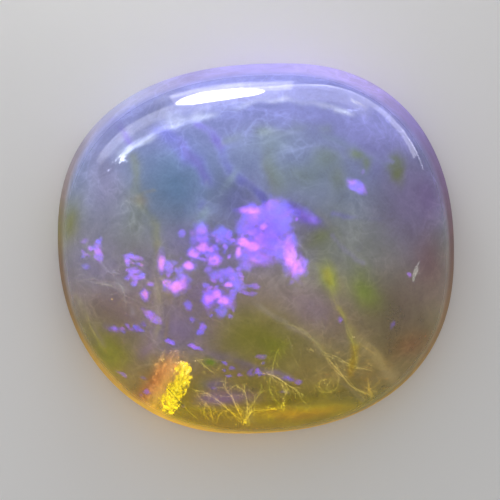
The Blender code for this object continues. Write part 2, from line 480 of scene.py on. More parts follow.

# %% [markdown]
# Wisps are narrower streaks of haze, and the pale ones along the arc under the upper edge are
# painted reflection of the lights. Each has its colour, its strength, its half width in mm and the
# path that it follows.

# %% The wisps
HAZE_AND_SHINE_WISPS = [
    # The first eight are painted reflection: the pale band of the lights along the arc under the upper
    # edge, its brightest glints and its end down the left side
    ("#d8e4f8", 0.70, 0.15, [(-5.66, 3.6), (-5.3, 3.95), (-4.8, 4.35), (-4.2, 4.75), (-3.6, 5.05)]),
    ("#c8d4f4", 0.80, 0.26, [(-4.1, 4.95), (-3.4, 5.15), (-2.6, 5.3)]),
    ("#c8d4f4", 0.60, 0.14, [(-3.0, 5.25), (-1.9, 5.3), (-0.6, 5.75)]),
    ("#c0c8f8", 0.40, 0.16, [(-4.4, 4.9), (-3.0, 5.35), (-2.0, 5.7)]),
    ("#d4dcff", 0.90, 0.09, [(3.1, 5.65), (3.7, 5.6), (4.2, 5.7)]),
    ("#c8d0fa", 0.70, 0.10, [(-0.4, 5.8), (0.4, 6.0), (1.3, 6.05), (2.2, 5.95), (3.2, 5.7)]),
    ("#e4e8ff", 0.90, 0.05, [(3.75, 6.2), (4.1, 6.1), (4.45, 5.9)]),
    ("#b0b6dc", 0.50, 0.22, [(-6.9, 2.0), (-6.6, 3.1), (-5.9, 4.2), (-5.3, 4.9)]),
    ("#8c92ea", 0.70, 0.34, [(-4.3, 5.1), (-3.3, 4.3), (-2.4, 3.6), (-1.8, 2.8), (-1.8, 2.0)]),
    ("#9c9cf6", 0.75, 0.14, [(-3.2, 4.4), (-2.4, 3.7), (-1.9, 3.0)]),
    ("#a09cfc", 0.95, 0.14, [(-2.5, 5.0), (-1.9, 4.5), (-1.4, 4.1)]),
    ("#949cf2", 0.85, 0.20, [(-1.3, 3.9), (-0.8, 3.2), (-0.1, 2.5), (0.4, 1.9)]),
    ("#9ca0fa", 0.75, 0.12, [(-0.3, 2.8), (0.3, 2.1), (0.5, 1.6)]),
    ("#7a78c0", 0.60, 0.18, [(1.4, 1.9), (2.0, 1.6), (2.6, 1.3)]),
    ("#7878b4", 0.50, 0.10, [(3.2, 1.5), (4.2, 1.4), (5.2, 1.3)]),
    ("#869aac", 0.70, 0.20, [(-0.6, 3.3), (-1.2, 2.6), (-1.8, 1.7), (-2.2, 1.1)]),
    ("#8c8c80", 0.50, 0.08, [(-4.9, 1.95), (-4.5, 2.3), (-4.1, 2.42)]),
    ("#7a68d0", 0.60, 0.14, [(-6.0, 5.3), (-5.5, 4.9), (-5.1, 4.4)]),
    ("#8094a0", 0.50, 0.12, [(-1.9, 2.9), (-1.8, 2.0), (-2.1, 1.3)]),
    ("#8c9ca8", 0.45, 0.18, [(-1.4, 4.3), (0.8, 4.6), (2.8, 4.9)]),
    ("#86988c", 0.45, 0.34, [(-0.3, 4.6), (0.6, 4.75), (1.5, 4.95)]),
    ("#8a9cb8", 0.45, 0.20, [(2.4, 4.6), (4.0, 4.1), (5.4, 3.6)]),
    ("#9a98d8", 0.50, 0.10, [(4.0, 4.2), (4.9, 3.9), (5.6, 3.5)]),
    ("#76806a", 0.30, 0.24, [(0.6, 3.7), (0.7, 2.8), (0.9, 2.1)]),
    ("#8d948c", 0.45, 0.14, [(2.6, 1.6), (3.5, 0.6), (4.3, -0.3), (4.6, -0.6)]),
    ("#9691c4", 0.45, 0.10, [(3.2, 0.6), (3.9, -0.1), (4.5, -0.6)]),
    ("#8a9270", 0.50, 0.20, [(-4.9, 1.7), (-4.2, 0.9), (-4.0, 0.2)]),
    ("#869078", 0.45, 0.24, [(-4.9, 3.7), (-4.8, 2.9), (-4.9, 2.2)]),
    ("#8c8a70", 0.45, 0.14, [(-4.0, 0.2), (-3.9, -1.6), (-4.0, -3.0), (-4.5, -4.6)]),
    ("#8c8464", 0.40, 0.12, [(-3.6, -1.8), (-3.7, -3.4), (-3.9, -4.4)]),
    ("#8c8878", 0.50, 0.12, [
        (-0.7, -1.9), (0.7, -2.7), (2.0, -3.4), (3.0, -4.5), (3.6, -5.3), (4.6, -5.9),
    ]),
    ("#9c9a40", 0.60, 0.14, [(2.8, -0.7), (3.1, -1.9), (3.6, -2.9), (3.9, -3.8), (4.0, -4.7)]),
    ("#b0902c", 0.60, 0.12, [(3.9, -4.0), (4.0, -4.5), (4.0, -5.0)]),
    ("#948a60", 0.65, 0.18, [(3.7, -3.3), (4.8, -4.3), (6.0, -5.3)]),
    ("#8c8450", 0.50, 0.12, [(1.6, -4.4), (1.1, -5.2), (0.9, -6.2)]),
    ("#8d8e96", 0.45, 0.12, [(-6.6, -0.3), (-5.9, -0.9), (-5.3, -1.6), (-5.1, -2.6)]),
    ("#90908c", 0.40, 0.10, [(-7.0, -1.2), (-6.0, -1.45), (-5.0, -1.7)]),
    ("#8a846c", 0.45, 0.10, [(-7.1, -2.0), (-6.7, -3.0), (-6.3, -3.9)]),
    ("#7c6eb8", 0.45, 0.14, [(-0.8, -4.6), (0.4, -4.9), (1.4, -5.1)]),
    ("#7a6cae", 0.40, 0.12, [(-6.2, -3.1), (-5.4, -3.25), (-4.8, -3.2)]),
    ("#7c7450", 0.45, 0.20, [(-1.0, -5.2), (-0.6, -6.2), (-0.4, -7.0)]),
]
print("wisps:", len(HAZE_AND_SHINE_WISPS))

# %% [markdown]
# The wall has colours of its own by direction round the stone, with painted light in them: lavender
# at the top, where light falls on the stone, and gold along the lower edge, where light that has
# come down through the stone leaves it again.

# %% Colours of the wall and the lower edge
WALL_COLOURS_AND_PAINTED_LIGHT = [
    (0, "#82564c"), (20, "#806094"), (38, "#9484cc"), (55, "#a496d4"), (90, "#928aca"),
    (112, "#807aaa"), (128, "#989abe"), (140, "#9a9ab8"), (152, "#948a98"), (164, "#98847c"),
    (174, "#8c8038"), (184, "#8c643c"), (200, "#a87c24"), (216, "#d4ac00"), (235, "#e0b000"),
    (262, "#d0a800"), (290, "#b89800"), (312, "#b89818"), (328, "#b88c34"), (345, "#a0743c"),
    (360, "#82564c"),
]
# Where the wall's colours start and are full, as shares of the way out, by direction in degrees
RIM_STARTS = [
    (0, 0.945), (50, 0.935), (120, 0.935), (142, 0.955), (165, 0.945), (200, 0.945), (360, 0.945)
]
RIM_WIDTH = 0.030
RIM_GAIN = 1.04
# Painted light: the gold that light leaving the stone gives its lower edge, which also glows
EDGE_PAINTED_GLOW = "#f4bc00"
# Where the painted glow of the lower edge starts, as shares of the way out, by direction in degrees
LINE_STARTS = [(190, 0.975), (210, 0.925), (255, 0.922), (270, 0.950), (290, 0.962), (320, 0.974)]
LINE_WIDTH = 0.040
# How much of its colour shows, and how strongly it shines, by direction in degrees
LINE_SHARES = [(196, 0.0), (212, 0.8), (225, 0.95), (315, 0.9), (340, 0.0)]
LINE_LIGHT = [
    (205, 0.0), (216, 0.12), (230, 0.22), (240, 0.42), (250, 0.30), (262, 0.26), (290, 0.26),
    (315, 0.14), (335, 0.0),
]
GLOW_PLACE, GLOW_STRENGTH = (1.6, -6.60, 2.0, 0.22, 6), 0.16  # as for a cloud
print("directions with a colour of their own:", len(WALL_COLOURS_AND_PAINTED_LIGHT) - 1)

# %% [markdown]
# Three more things vary over the skin: how strong its own colour is, how clear it is and how well
# it is polished. The colours above are as they show, and only the hazy share of the light shows
# them, so the skin's own colour is stronger.

# %% Strength, clearness and polish
BODY_GAIN = [  # (mm up, times as strong)
    (-7, 3.0), (-6, 3.1), (-5, 3.5), (-2, 3.5), (0, 2.8), (2, 2.35), (4, 1.65), (5, 1.2), (6, 0.95)
]
MOST_COLOUR = 0.95  # no colour sends back more than this share of the light
DOME_CLEARNESS = [(-7, 0.66), (-2, 0.62), (2, 0.56), (6, 0.38)]  # (mm up, share let through)
WALL_CLEARNESS = 0.25
WALL_ROUGHNESS, DOME_ROUGHNESS = 0.45, 0.04
POLISH_ENDS = (0.93, 0.955)  # where the polish starts to fade and has gone, as shares of the way out
DRIFTS = [(2.5, 0.35), (0.7, 0.12), (0.25, 0.05)]  # how the clouds wander: scale and amount in mm
THICKER = 0.8  # mm, the scale of the thicker and thinner places along the wisps
THICKNESS, THICKNESS_LIMITS = (0.75, 1.5), (0.1, 1.3)  # on average, how much it varies, and limits


def cloud_weight(u, v, centre_u, centre_v, half_u, half_v, turn):
    """One in the middle of the cloud, about a third at its half sizes, and nothing far away."""
    angle = math.radians(turn)
    along = (u - centre_u) * math.cos(angle) + (v - centre_v) * math.sin(angle)
    across = -(u - centre_u) * math.sin(angle) + (v - centre_v) * math.cos(angle)
    return np.exp(-((along / half_u) ** 2) - (across / half_v) ** 2)


def distance_to_path(u, v, path):
    """How far points are from a path of straight pieces."""
    nearest = np.full(u.shape, np.inf)
    for (x0, y0), (x1, y1) in zip(path, path[1:]):
        along = ((u - x0) * (x1 - x0) + (v - y0) * (y1 - y0)) / ((x1 - x0) ** 2 + (y1 - y0) ** 2)
        along = np.clip(along, 0, 1)
        nearest = np.minimum(nearest, np.hypot(u - x0 - along * (x1 - x0), v - y0 - along * (y1 - y0)))
    return nearest


def between(stops, where):
    """Colours interpolated between stops of (place, hex colour)."""
    places = [place for place, _ in stops]
    colours = np.array([srgb(colour) for _, colour in stops])
    return np.stack([np.interp(where, places, colours[:, c]) for c in range(3)], axis=-1)


def drift(u, v, scale, offset):
    """Smooth random pairs, about -1 to 1, that change over the scale in mm."""
    found = [noise.noise_vector(Vector((a / scale, b / scale, offset))) for a, b in zip(u, v)]
    return np.array(found)[:, :2].T


def share_between(values, start, full):
    """Nothing up to start, one from full on, and even steps between."""
    return np.clip((values - start) / (full - start), 0, 1)


def direction_of(points):
    """Degrees round the stone, from +X."""
    return np.degrees(np.arctan2(points[:, 1], points[:, 0])) % 360


def wall_share(points, ring_share):
    """How far points are into the wall: nothing on the dome, one on the wall."""
    starts = np.interp(direction_of(points), *zip(*RIM_STARTS))
    return share_between(ring_share, starts, starts + RIM_WIDTH)


def edge_glow_share(points, ring_share):
    """How far points are into the golden line of painted glow along the lower edge."""
    starts = np.interp(direction_of(points), *zip(*LINE_STARTS))
    return share_between(ring_share, starts, starts + LINE_WIDTH)


def colours_with_painted_light(points, ring_share):
    """The stone's own colour at points of its skin, with painted light: lavender high up, gold low down.
    """
    u, v = shown_at(points)
    density = drift(u, v, THICKER, 5.0)[0]
    for scale, amount in DRIFTS:
        shift = drift(u, v, scale, 1.0) * amount
        u, v = u + shift[0], v + shift[1]
    colours = between(HEIGHT_COLOURS_AND_PAINTED_LIGHT, v)
    for centre_u, centre_v, half_u, half_v, turn, colour, strength in CLOUDS.values():
        weight = strength * cloud_weight(u, v, centre_u, centre_v, half_u, half_v, turn)
        colours += (srgb(colour) - colours) * weight[:, None]
    for colour, strength, half_width, path in HAZE_AND_SHINE_WISPS:
        weight = strength * np.exp(-((distance_to_path(u, v, path) / half_width) ** 2))
        weight *= np.clip(THICKNESS[0] + THICKNESS[1] * density, *THICKNESS_LIMITS)
        colours += (srgb(colour) - colours) * weight[:, None]
    direction = direction_of(points)
    rim = wall_share(points, ring_share)[:, None]
    gain = np.interp(v, *zip(*BODY_GAIN))[:, None]
    body = to_linear(colours) * gain
    edge = between(WALL_COLOURS_AND_PAINTED_LIGHT, direction)
    line = edge_glow_share(points, ring_share) * np.interp(direction, *zip(*LINE_SHARES))
    mixed = body + (to_linear(edge) * RIM_GAIN - body) * rim
    mixed += (to_linear(srgb(EDGE_PAINTED_GLOW)) * RIM_GAIN - mixed) * line[:, None]
    return mixed * np.minimum(1, MOST_COLOUR / mixed.max(axis=1))[:, None]


def clearness(points, ring_share):
    """The share of light that goes into the stone: less in the hazy top and in the wall."""
    _, v = shown_at(points)
    clear = np.interp(v, *zip(*DOME_CLEARNESS))
    return clear + (WALL_CLEARNESS - clear) * wall_share(points, ring_share)


def through_light(points, ring_share):
    """How strongly the lower edge glows with painted light, for the light that has come down through the
    stone.
    """
    u, v = shown_at(points)
    shine = np.interp(direction_of(points), *zip(*LINE_LIGHT)) * edge_glow_share(points, ring_share)
    shine += GLOW_STRENGTH * cloud_weight(u, v, *GLOW_PLACE)
    return np.where(points[:, 2] > EDGE_RADIUS * 0.5, shine, 0)


def finish_roughness(ring_share):
    """The dome is polished like glass, and the wall is only ground smooth."""
    ground = share_between(ring_share, *POLISH_ENDS)
    return DOME_ROUGHNESS + (WALL_ROUGHNESS - DOME_ROUGHNESS) * ground


print("roughness of the dome and the wall:", finish_roughness(np.array([0.5, 1.0])))

# %% [markdown]
# The finish is a Principled shader that lets part of the light through, with what is left in the
# stone's own colour. Noise makes that colour uneven: broad mottles, pale veins of three sizes and a
# fine grain. Inside, an absorption volume takes a little blue away, so depth reads as yellow.

# %% The opal's finish
IOR = 1.45
MOTTLE_SIZE, MOTTLE = 1.1, (0.86, 1.14)  # mm, and the darkest and lightest, times the colour
VEINS = [(2.8, 40.0), (1.4, 26.0), (0.8, 18.0)]  # size in mm and sharpness
VEINED_SIZE, VEIN_STRENGTH = 2.2, (0.04, 0.16)  # mm, and where veins are weak and strong
GRAIN_SIZE, GRAIN = 0.10, 0.22  # mm, and how strong
WAVES, PEEL = (1.5, 3.0), (0.16, 0.05)  # of the polish: size in mm and height
POLISH_RELIEF = 0.004 * MM  # what a height of one stands for
PASSED, ABSORPTION = "#e0c890", 120.0  # the colour that passes best, and how dense the volume is


def opal_finish():
    """Polished precious opal: hydrated silica glass with an even, glassy shine."""
    material, tree, shader = new_finish("polished opal")
    place = add_node(tree, "ShaderNodeTexCoord").outputs["Object"]
    mottle = soft_noise(tree, place, MOTTLE_SIZE, 6.0, 0.6, 0.8)
    shade = add_node(tree, "ShaderNodeMapRange", None, {
        "Value": mottle, "From Min": 0.3, "From Max": 0.7, "To Min": MOTTLE[0], "To Max": MOTTLE[1],
    }).outputs[0]
    veined = soft_noise(tree, place, VEINED_SIZE, 1.0)
    presence = eased(tree, veined, 0.40, 0.62, *VEIN_STRENGTH)
    for size, sharpness in VEINS:
        off_line = calculate(tree, "SUBTRACT", soft_noise(tree, place, size, 3.0, 0.45, 0.6), 0.5)
        fall = calculate(tree, "MULTIPLY", calculate(tree, "ABSOLUTE", off_line), sharpness)
        line = calculate(tree, "MAXIMUM", calculate(tree, "SUBTRACT", 1.0, fall), 0.0)
        shade = calculate(tree, "ADD", shade, calculate(tree, "MULTIPLY", line, presence))
    grain = calculate(tree, "SUBTRACT", soft_noise(tree, place, GRAIN_SIZE, 2.0), 0.5)
    shade = calculate(tree, "ADD", shade, calculate(tree, "MULTIPLY", grain, GRAIN))
    coloured = scaled(tree, stored(tree, "colour_with_painted_light", "Color"), shade)
    tree.links.new(coloured, shader.inputs["Base Color"])
    tree.links.new(stored(tree, "clearness"), shader.inputs["Transmission Weight"])
    shader.inputs["IOR"].default_value = IOR
    tree.links.new(stored(tree, "roughness"), shader.inputs["Roughness"])
    # The lower edge glows with painted light, for the light that has come down through the stone
    tree.links.new(coloured, shader.inputs["Emission Color"])
    tree.links.new(stored(tree, "through_light"), shader.inputs["Emission Strength"])
    waves, peel = (
        calculate(tree, "MULTIPLY", soft_noise(tree, place, size, 2.0), height)
        for size, height in (WAVES, PEEL)
    )
    bump = add_node(tree, "ShaderNodeBump", None, {
        "Height": calculate(tree, "ADD", waves, peel), "Strength": 0.6, "Distance": POLISH_RELIEF,
    })
    tree.links.new(bump.outputs[0], shader.inputs["Normal"])
    absorption = add_node(tree, "ShaderNodeVolumeAbsorption")
    absorption.inputs["Color"].default_value = (*linear(PASSED), 1)
    absorption.inputs["Density"].default_value = ABSORPTION
    tree.links.new(absorption.outputs[0], tree.nodes["Material Output"].inputs["Volume"])
    return material


opal = opal_finish()
print("nodes in the finish:", len(opal.node_tree.nodes))

# %% Grow the skin and paint it
skin = grown("opal_skin", skin_source, loft_tree(), {
    "Outline": outline_guide, "Steps Round": TURN_STEPS, "Rings": len(rings),
    "Half Length": HALF_LENGTH, "Half Width": HALF_WIDTH, "Material": opal,
})
bpy.data.objects.remove(outline_guide)

count = len(skin.data.vertices)
places = np.empty(count * 3)
skin.data.vertices.foreach_get("co", places)
places = places.reshape(-1, 3)
ring_share = np.empty(count)
skin.data.attributes["ring_share"].data.foreach_get("value", ring_share)
painted = np.ones((count, 4))
painted[:, :3] = colours_with_painted_light(places, ring_share)
skin.data.attributes.new("colour_with_painted_light", "FLOAT_COLOR", "POINT").data.foreach_set("color", painted.ravel())
for name, values in {
    "clearness": clearness(places, ring_share),
    "through_light": through_light(places, ring_share),
    "roughness": finish_roughness(ring_share),
}.items():
    skin.data.attributes.new(name, "FLOAT", "POINT").data.foreach_set("value", values)
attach(skin, "root")
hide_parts("opal")
print("skin faces:", len(skin.data.polygons))

# %% [markdown]
# What lies inside is placed by where it shows. A ray from the camera meets the skin, bends there as
# it does in opal, and goes on by the wanted depth, so a piece shows at its place in the photograph
# and still shifts behind the surface when the stone is turned.

# %% Places inside the stone
skin_tree = BVHTree.FromPolygons(
    [vertex.co.copy() for vertex in skin.data.vertices],
    [polygon.vertices for polygon in skin.data.polygons],
)


def seen_through(right, up, depth):
    """The place that shows at these mm from the middle, mm deep, and the way that it is seen."""
    target = middle + view_right * (right * MM) + view_up * (up * MM)
    ray = (target - camera_place).normalized()
    place, normal, _, _ = skin_tree.ray_cast(camera_place, ray)
    if place is None:
        return None, ray
    cosine = -ray.dot(normal)
    bent = ray / IOR + normal * (cosine / IOR - math.sqrt(1 - (1 - cosine**2) / IOR**2))
    return place + bent * (depth * MM), bent


print("1 mm under the middle lies at, mm:", [round(side / MM, 2) for side in seen_through(0, 0, 1)[0]])

# %% [markdown]
# The flashes come from patches where the spheres are stacked evenly. They are thin, soft-edged
# flakes of pure colour, from blue violet to pink, which lie a millimetre or so deep. One Geometry
# Nodes tree makes them all from points that carry a size, a turn, a hue and a glow. The table has
# mm right and up, half sizes in mm, the turn in degrees, the hue (0 violet, 1 pink) and the glow.

# %% Where the flashes are
FLASHES = {
    "main blob": [
        (0.20, 1.25, 0.45, 0.45, 0, 0.35, 0.8), (0.15, 0.50, 0.55, 0.50, 0, 0.45, 0.8),
        (-0.20, 1.47, 0.44, 0.36, 0, 0.45, 0.8), (-0.40, 0.87, 0.36, 0.48, 0, 0.30, 0.7),
        (0.93, 1.39, 0.57, 0.65, 0, 0.12, 0.9), (0.60, 1.80, 0.36, 0.20, 25, 0.60, 0.8),
        (0.65, 0.46, 0.80, 0.65, 0, 0.25, 0.8), (-0.32, 0.14, 0.52, 0.48, 0, 0.55, 0.8),
        (0.16, -0.36, 0.60, 0.30, 0, 0.50, 0.7), (-0.40, -0.62, 0.30, 0.24, -30, 0.25, 0.7),
        (1.09, 0.02, 0.44, 0.50, 0, 0.30, 0.75), (1.41, -0.22, 0.22, 0.65, 10, 0.98, 1.2),
        (1.78, -0.67, 0.20, 0.28, 0, 0.85, 1.0), (1.86, -0.50, 0.16, 0.32, 10, 0.30, 0.7),
        (-0.25, 1.56, 0.33, 0.14, 0, 1.00, 1.0), (-0.58, 0.36, 0.15, 0.14, 0, 1.00, 1.0),
        (-0.14, 0.13, 0.30, 0.17, -20, 0.95, 1.0), (-0.70, -0.08, 0.11, 0.20, 0, 0.90, 1.0),
        (-0.45, 0.26, 0.20, 0.15, 0, 0.95, 1.0), (0.30, 0.92, 0.13, 0.12, 0, 0.85, 0.9),
        (0.00, -0.38, 0.25, 0.13, 0, 0.60, 0.9), (-0.16, 0.71, 0.20, 0.12, 0, 0.75, 0.8),
        (1.95, 1.42, 0.60, 0.28, -28, 0.30, 0.40), (2.34, 1.22, 0.24, 0.16, -20, 0.50, 0.50),
    ],
    "middle cluster": [
        (-2.98, 0.67, 0.14, 0.14, 0, 0.30, 0.7), (-2.18, 0.65, 0.23, 0.30, 0, 0.70, 0.8),
        (-1.38, 0.57, 0.40, 0.32, 0, 0.20, 0.8), (-1.10, 0.60, 0.10, 0.14, 0, 0.60, 0.8),
        (-2.53, 0.38, 0.17, 0.17, 0, 0.30, 0.5), (-2.18, 0.09, 0.26, 0.15, 0, 0.95, 0.9),
        (-1.82, 0.02, 0.20, 0.12, 0, 0.80, 0.8), (-2.50, -0.15, 0.19, 0.15, 0, 1.00, 1.0),
        (-1.70, -0.44, 0.30, 0.26, 0, 0.60, 0.8), (-1.72, -0.42, 0.16, 0.16, 0, 1.00, 1.0),
        (-2.09, -0.42, 0.13, 0.09, 0, 0.40, 0.7), (-2.71, -0.65, 0.16, 0.14, 0, 1.00, 1.0),
        (-3.07, -0.86, 0.13, 0.22, 0, 0.20, 0.7), (-3.82, -0.53, 0.14, 0.28, 0, 0.85, 0.9),
        (-3.48, -0.74, 0.13, 0.18, 0, 0.75, 0.8), (-3.51, -1.00, 0.10, 0.10, 0, 0.40, 0.7),
        (-3.59, -1.35, 0.14, 0.11, 0, 0.95, 0.9), (-3.16, -1.47, 0.30, 0.20, 20, 1.00, 1.1),
        (-2.95, -1.23, 0.13, 0.20, 0, 0.70, 0.8), (-1.91, -0.80, 0.17, 0.10, 0, 0.30, 0.7),
        (-1.56, -1.04, 0.34, 0.20, 0, 0.25, 0.7), (-1.23, -0.92, 0.25, 0.15, 0, 0.30, 0.7),
        (-0.90, -1.16, 0.26, 0.25, 0, 0.25, 0.8), (-0.69, -1.45, 0.20, 0.26, 0, 0.10, 0.8),
        (-1.08, -1.42, 0.16, 0.10, 0, 1.00, 1.0), (-0.43, -1.75, 0.20, 0.09, -30, 0.35, 0.7),
        (-0.13, -1.78, 0.16, 0.08, 0, 0.30, 0.6), (-0.02, -1.48, 0.19, 0.13, 0, 0.35, 0.7),
        (-0.34, -1.45, 0.17, 0.07, 0, 0.30, 0.5), (-2.03, -1.45, 0.15, 0.09, 0, 0.20, 0.7),
    ],
    "lower arch": [
        (-1.94, -2.08, 0.22, 0.40, 0, 0.35, 0.8), (-1.70, -1.76, 0.38, 0.20, -20, 0.55, 0.8),
        (-1.13, -2.12, 0.30, 0.28, 0, 0.35, 0.8), (-1.41, -2.52, 0.20, 0.28, -20, 0.00, 0.8),
        (-0.97, -1.80, 0.13, 0.17, 0, 0.30, 0.7), (-1.90, -2.00, 0.17, 0.20, 0, 0.90, 1.0),
        (-1.62, -1.84, 0.22, 0.15, 0, 1.00, 1.1), (-1.31, -2.08, 0.22, 0.15, -35, 1.00, 1.1),
        (-2.76, -2.28, 0.17, 0.20, 0, 0.30, 0.7), (-2.56, -2.80, 0.12, 0.10, 0, 0.30, 0.6),
        (-2.16, -3.10, 0.14, 0.16, 0, 0.45, 0.8), (-2.26, -3.33, 0.12, 0.12, 0, 0.40, 0.8),
    ],
    "lower scatter": [
        (-4.16, -2.73, 0.42, 0.17, -38, 0.60, 0.9), (-3.48, -3.73, 0.19, 0.09, -15, 0.50, 0.9),
        (-2.48, -3.94, 0.26, 0.09, -20, 0.60, 0.9), (-5.40, -5.03, 0.20, 0.09, -30, 0.50, 0.8),
        (-4.54, -5.19, 0.15, 0.08, -15, 0.20, 0.5), (-4.32, -5.79, 0.20, 0.10, 0, 0.30, 0.35),
        (0.16, -4.35, 0.23, 0.10, 0, 0.30, 0.7), (1.38, -5.24, 0.38, 0.09, -15, 0.40, 0.5),
        (1.70, -5.35, 0.15, 0.10, 0, 0.45, 0.8), (1.13, -5.76, 0.17, 0.08, 0, 0.30, 0.5),
        (-0.20, -5.03, 0.17, 0.12, 0, 0.30, 0.5), (-1.70, -5.62, 0.13, 0.10, 0, 0.30, 0.4),
    ],
    "left cluster": [
        (-6.38, -0.10, 0.20, 0.38, 12, 0.55, 0.8), (-6.96, 0.34, 0.19, 0.13, 0, 0.40, 0.5),
        (-6.87, -0.68, 0.19, 0.13, 0, 0.20, 0.5), (-4.95, -0.31, 0.38, 0.10, -10, 0.50, 0.8),
        (-5.20, -0.49, 0.09, 0.20, 0, 0.40, 0.7), (-4.92, -0.86, 0.26, 0.13, 0, 0.40, 0.8),
        (-4.83, -1.11, 0.30, 0.12, 0, 0.45, 0.8), (-4.86, -1.30, 0.17, 0.09, 0, 0.35, 0.7),
        (-4.61, -1.11, 0.17, 0.07, 0, 0.50, 0.8), (-4.49, -1.81, 0.13, 0.15, 0, 0.90, 0.9),
        (-4.27, -1.39, 0.15, 0.10, 0, 0.60, 0.7), (-5.60, -3.24, 0.45, 0.11, 0, 0.50, 0.40),
        (-5.08, -3.21, 0.17, 0.08, 0, 0.45, 0.6), (-4.52, -3.00, 0.13, 0.13, 0, 0.30, 0.4),
    ],
    "right side": [
        (4.10, 2.53, 0.42, 0.24, -28, 0.35, 1.1), (3.86, 2.70, 0.20, 0.12, 0, 0.45, 1.0),
        (4.33, 3.11, 0.08, 0.12, 0, 0.40, 0.5), (6.20, -1.02, 0.07, 0.09, 0, 0.50, 0.7),
        (5.55, -3.03, 0.10, 0.17, 0, 0.20, 0.5), (3.41, -2.86, 0.08, 0.13, 0, 0.30, 0.6),
    ],
}
SMALL_FLASHES = [  # (middle, half size in mm, how many) of the small flashes scattered round them
    ((-1.8, 0.1), (0.9, 0.6), 34), ((-1.2, -1.3), (0.8, 0.5), 26), ((-4.9, -0.8), (0.35, 0.6), 22),
    ((-3.3, -0.9), (0.35, 0.5), 16), ((-1.4, -2.3), (0.5, 0.4), 12), ((0.6, 0.6), (1.2, 1.0), 22),
    ((-6.6, 0.0), (0.4, 0.5), 12), ((-5.2, -3.2), (0.7, 0.12), 10), ((-0.3, -4.9), (1.2, 0.4), 12),
    ((-3.8, -5.9), (0.9, 0.5), 10),
]
print("flashes:", sum(map(len, FLASHES.values())), "small:", sum(row[2] for row in SMALL_FLASHES))

# %% Flakes to grow
FLASH_DEPTH = (0.7, 1.3)  # mm, of the smallest and the largest
FULL_DEPTH_SIZE = 0.6     # mm, the half size from which a flash lies deepest
# The yellow haze low in the stone takes their blue away, so there they have less red and green
FLASH_WARMTH = [(-6, 0.40), (-3, 0.62), (-1, 0.88), (1, 1.0)]  # mm up, share of red and green
FLAKE_TILT = math.radians(14)
FLAKE_ROUND, FLAKE_RINGS = 28, 14
FLAKE_THICKNESS = 0.04  # mm
FLAKE_SPREAD = 1.45  # how much wider than their bright part the flakes are, for the soft edge
# A pink flake has a wider violet one behind it, this far in mm
HALO_FROM, HALO_SPREAD, HALO_HUE, HALO_GLOW, HALO_BEHIND = 0.65, 2.3, 0.3, 0.7, 0.1


def set_attribute(mesh, name, kind, values):
    """A point attribute from a list with one value or vector for each point."""
    key = {"FLOAT": "value", "FLOAT_VECTOR": "vector", "FLOAT_COLOR": "color"}[kind]
    flat = np.asarray(values, dtype=float).ravel()
    mesh.attributes.new(name, kind, "POINT").data.foreach_set(key, flat)


def named_attribute(tree, name, kind):
    """What the points keep under this name, for a Geometry Nodes tree."""
    node = add_node(tree, "GeometryNodeInputNamedAttribute", {"data_type": kind}, {"Name": name})
    return node.outputs[0]


def facing_along(ray):
    """Axes that face back along the ray, with X to the right of the picture."""
    back = -ray
    across = view_up.cross(back).normalized()
    return Matrix((across, back.cross(across), back)).transposed()


def flake_points(seed):
    """The points that the flakes grow on."""
    pick = random.Random(seed)
    scattered = []
    for centre, half_size, count in SMALL_FLASHES:
        for _ in range(count):
            place = [pick.uniform(c - h, c + h) for c, h in zip(centre, half_size)]
            half_long = pick.uniform(0.06, 0.14)
            shape = (half_long, half_long * pick.uniform(0.5, 0.9), pick.uniform(-60, 60))
            scattered.append((*place, *shape, pick.uniform(0.05, 0.6), pick.uniform(0.4, 0.9)))
    rows = []
    for group in [*FLASHES.values(), scattered]:
        for right, up, half_long, half_wide, turn, hue, glow in group:
            size = min(1, math.sqrt(half_long * half_wide) / FULL_DEPTH_SIZE)
            depth = FLASH_DEPTH[0] + (FLASH_DEPTH[1] - FLASH_DEPTH[0]) * size
            place, ray = seen_through(right, up, depth)
            own = Matrix.Rotation(math.radians(turn), 3, "Z")
            lean = Matrix.Rotation(pick.uniform(-FLAKE_TILT, FLAKE_TILT), 3, "X")
            lean = lean @ Matrix.Rotation(pick.uniform(-FLAKE_TILT, FLAKE_TILT), 3, "Y")
            turned = (facing_along(ray) @ lean @ own).to_euler()
            warmth = float(np.interp(up, *zip(*FLASH_WARMTH)))
            made = [(place, FLAKE_SPREAD, hue, glow)]
            if hue > HALO_FROM:
                behind = place + ray * HALO_BEHIND * MM
                made.append((behind, HALO_SPREAD, HALO_HUE, glow * HALO_GLOW))
            for where, spread, own_hue, own_glow in made:
                size = (half_long * spread * MM, half_wide * spread * MM, FLAKE_THICKNESS * MM)
                rows.append((where, size, turned, own_hue, own_glow, warmth))
    places, sizes, turns, hues, glows, warmths = zip(*rows)
    mesh = points_mesh("flake points", places)
    set_attribute(mesh, "size", "FLOAT_VECTOR", sizes)
    set_attribute(mesh, "turn", "FLOAT_VECTOR", turns)
    for name, values in {"hue": hues, "glow": glows, "warmth": warmths}.items():
        set_attribute(mesh, name, "FLOAT", values)
    return mesh


# %% The tree that grows the flakes
LEVEL = (1, 1, 0)   # takes the height out of a vector
RAGGED_SIZE = 0.22  # mm


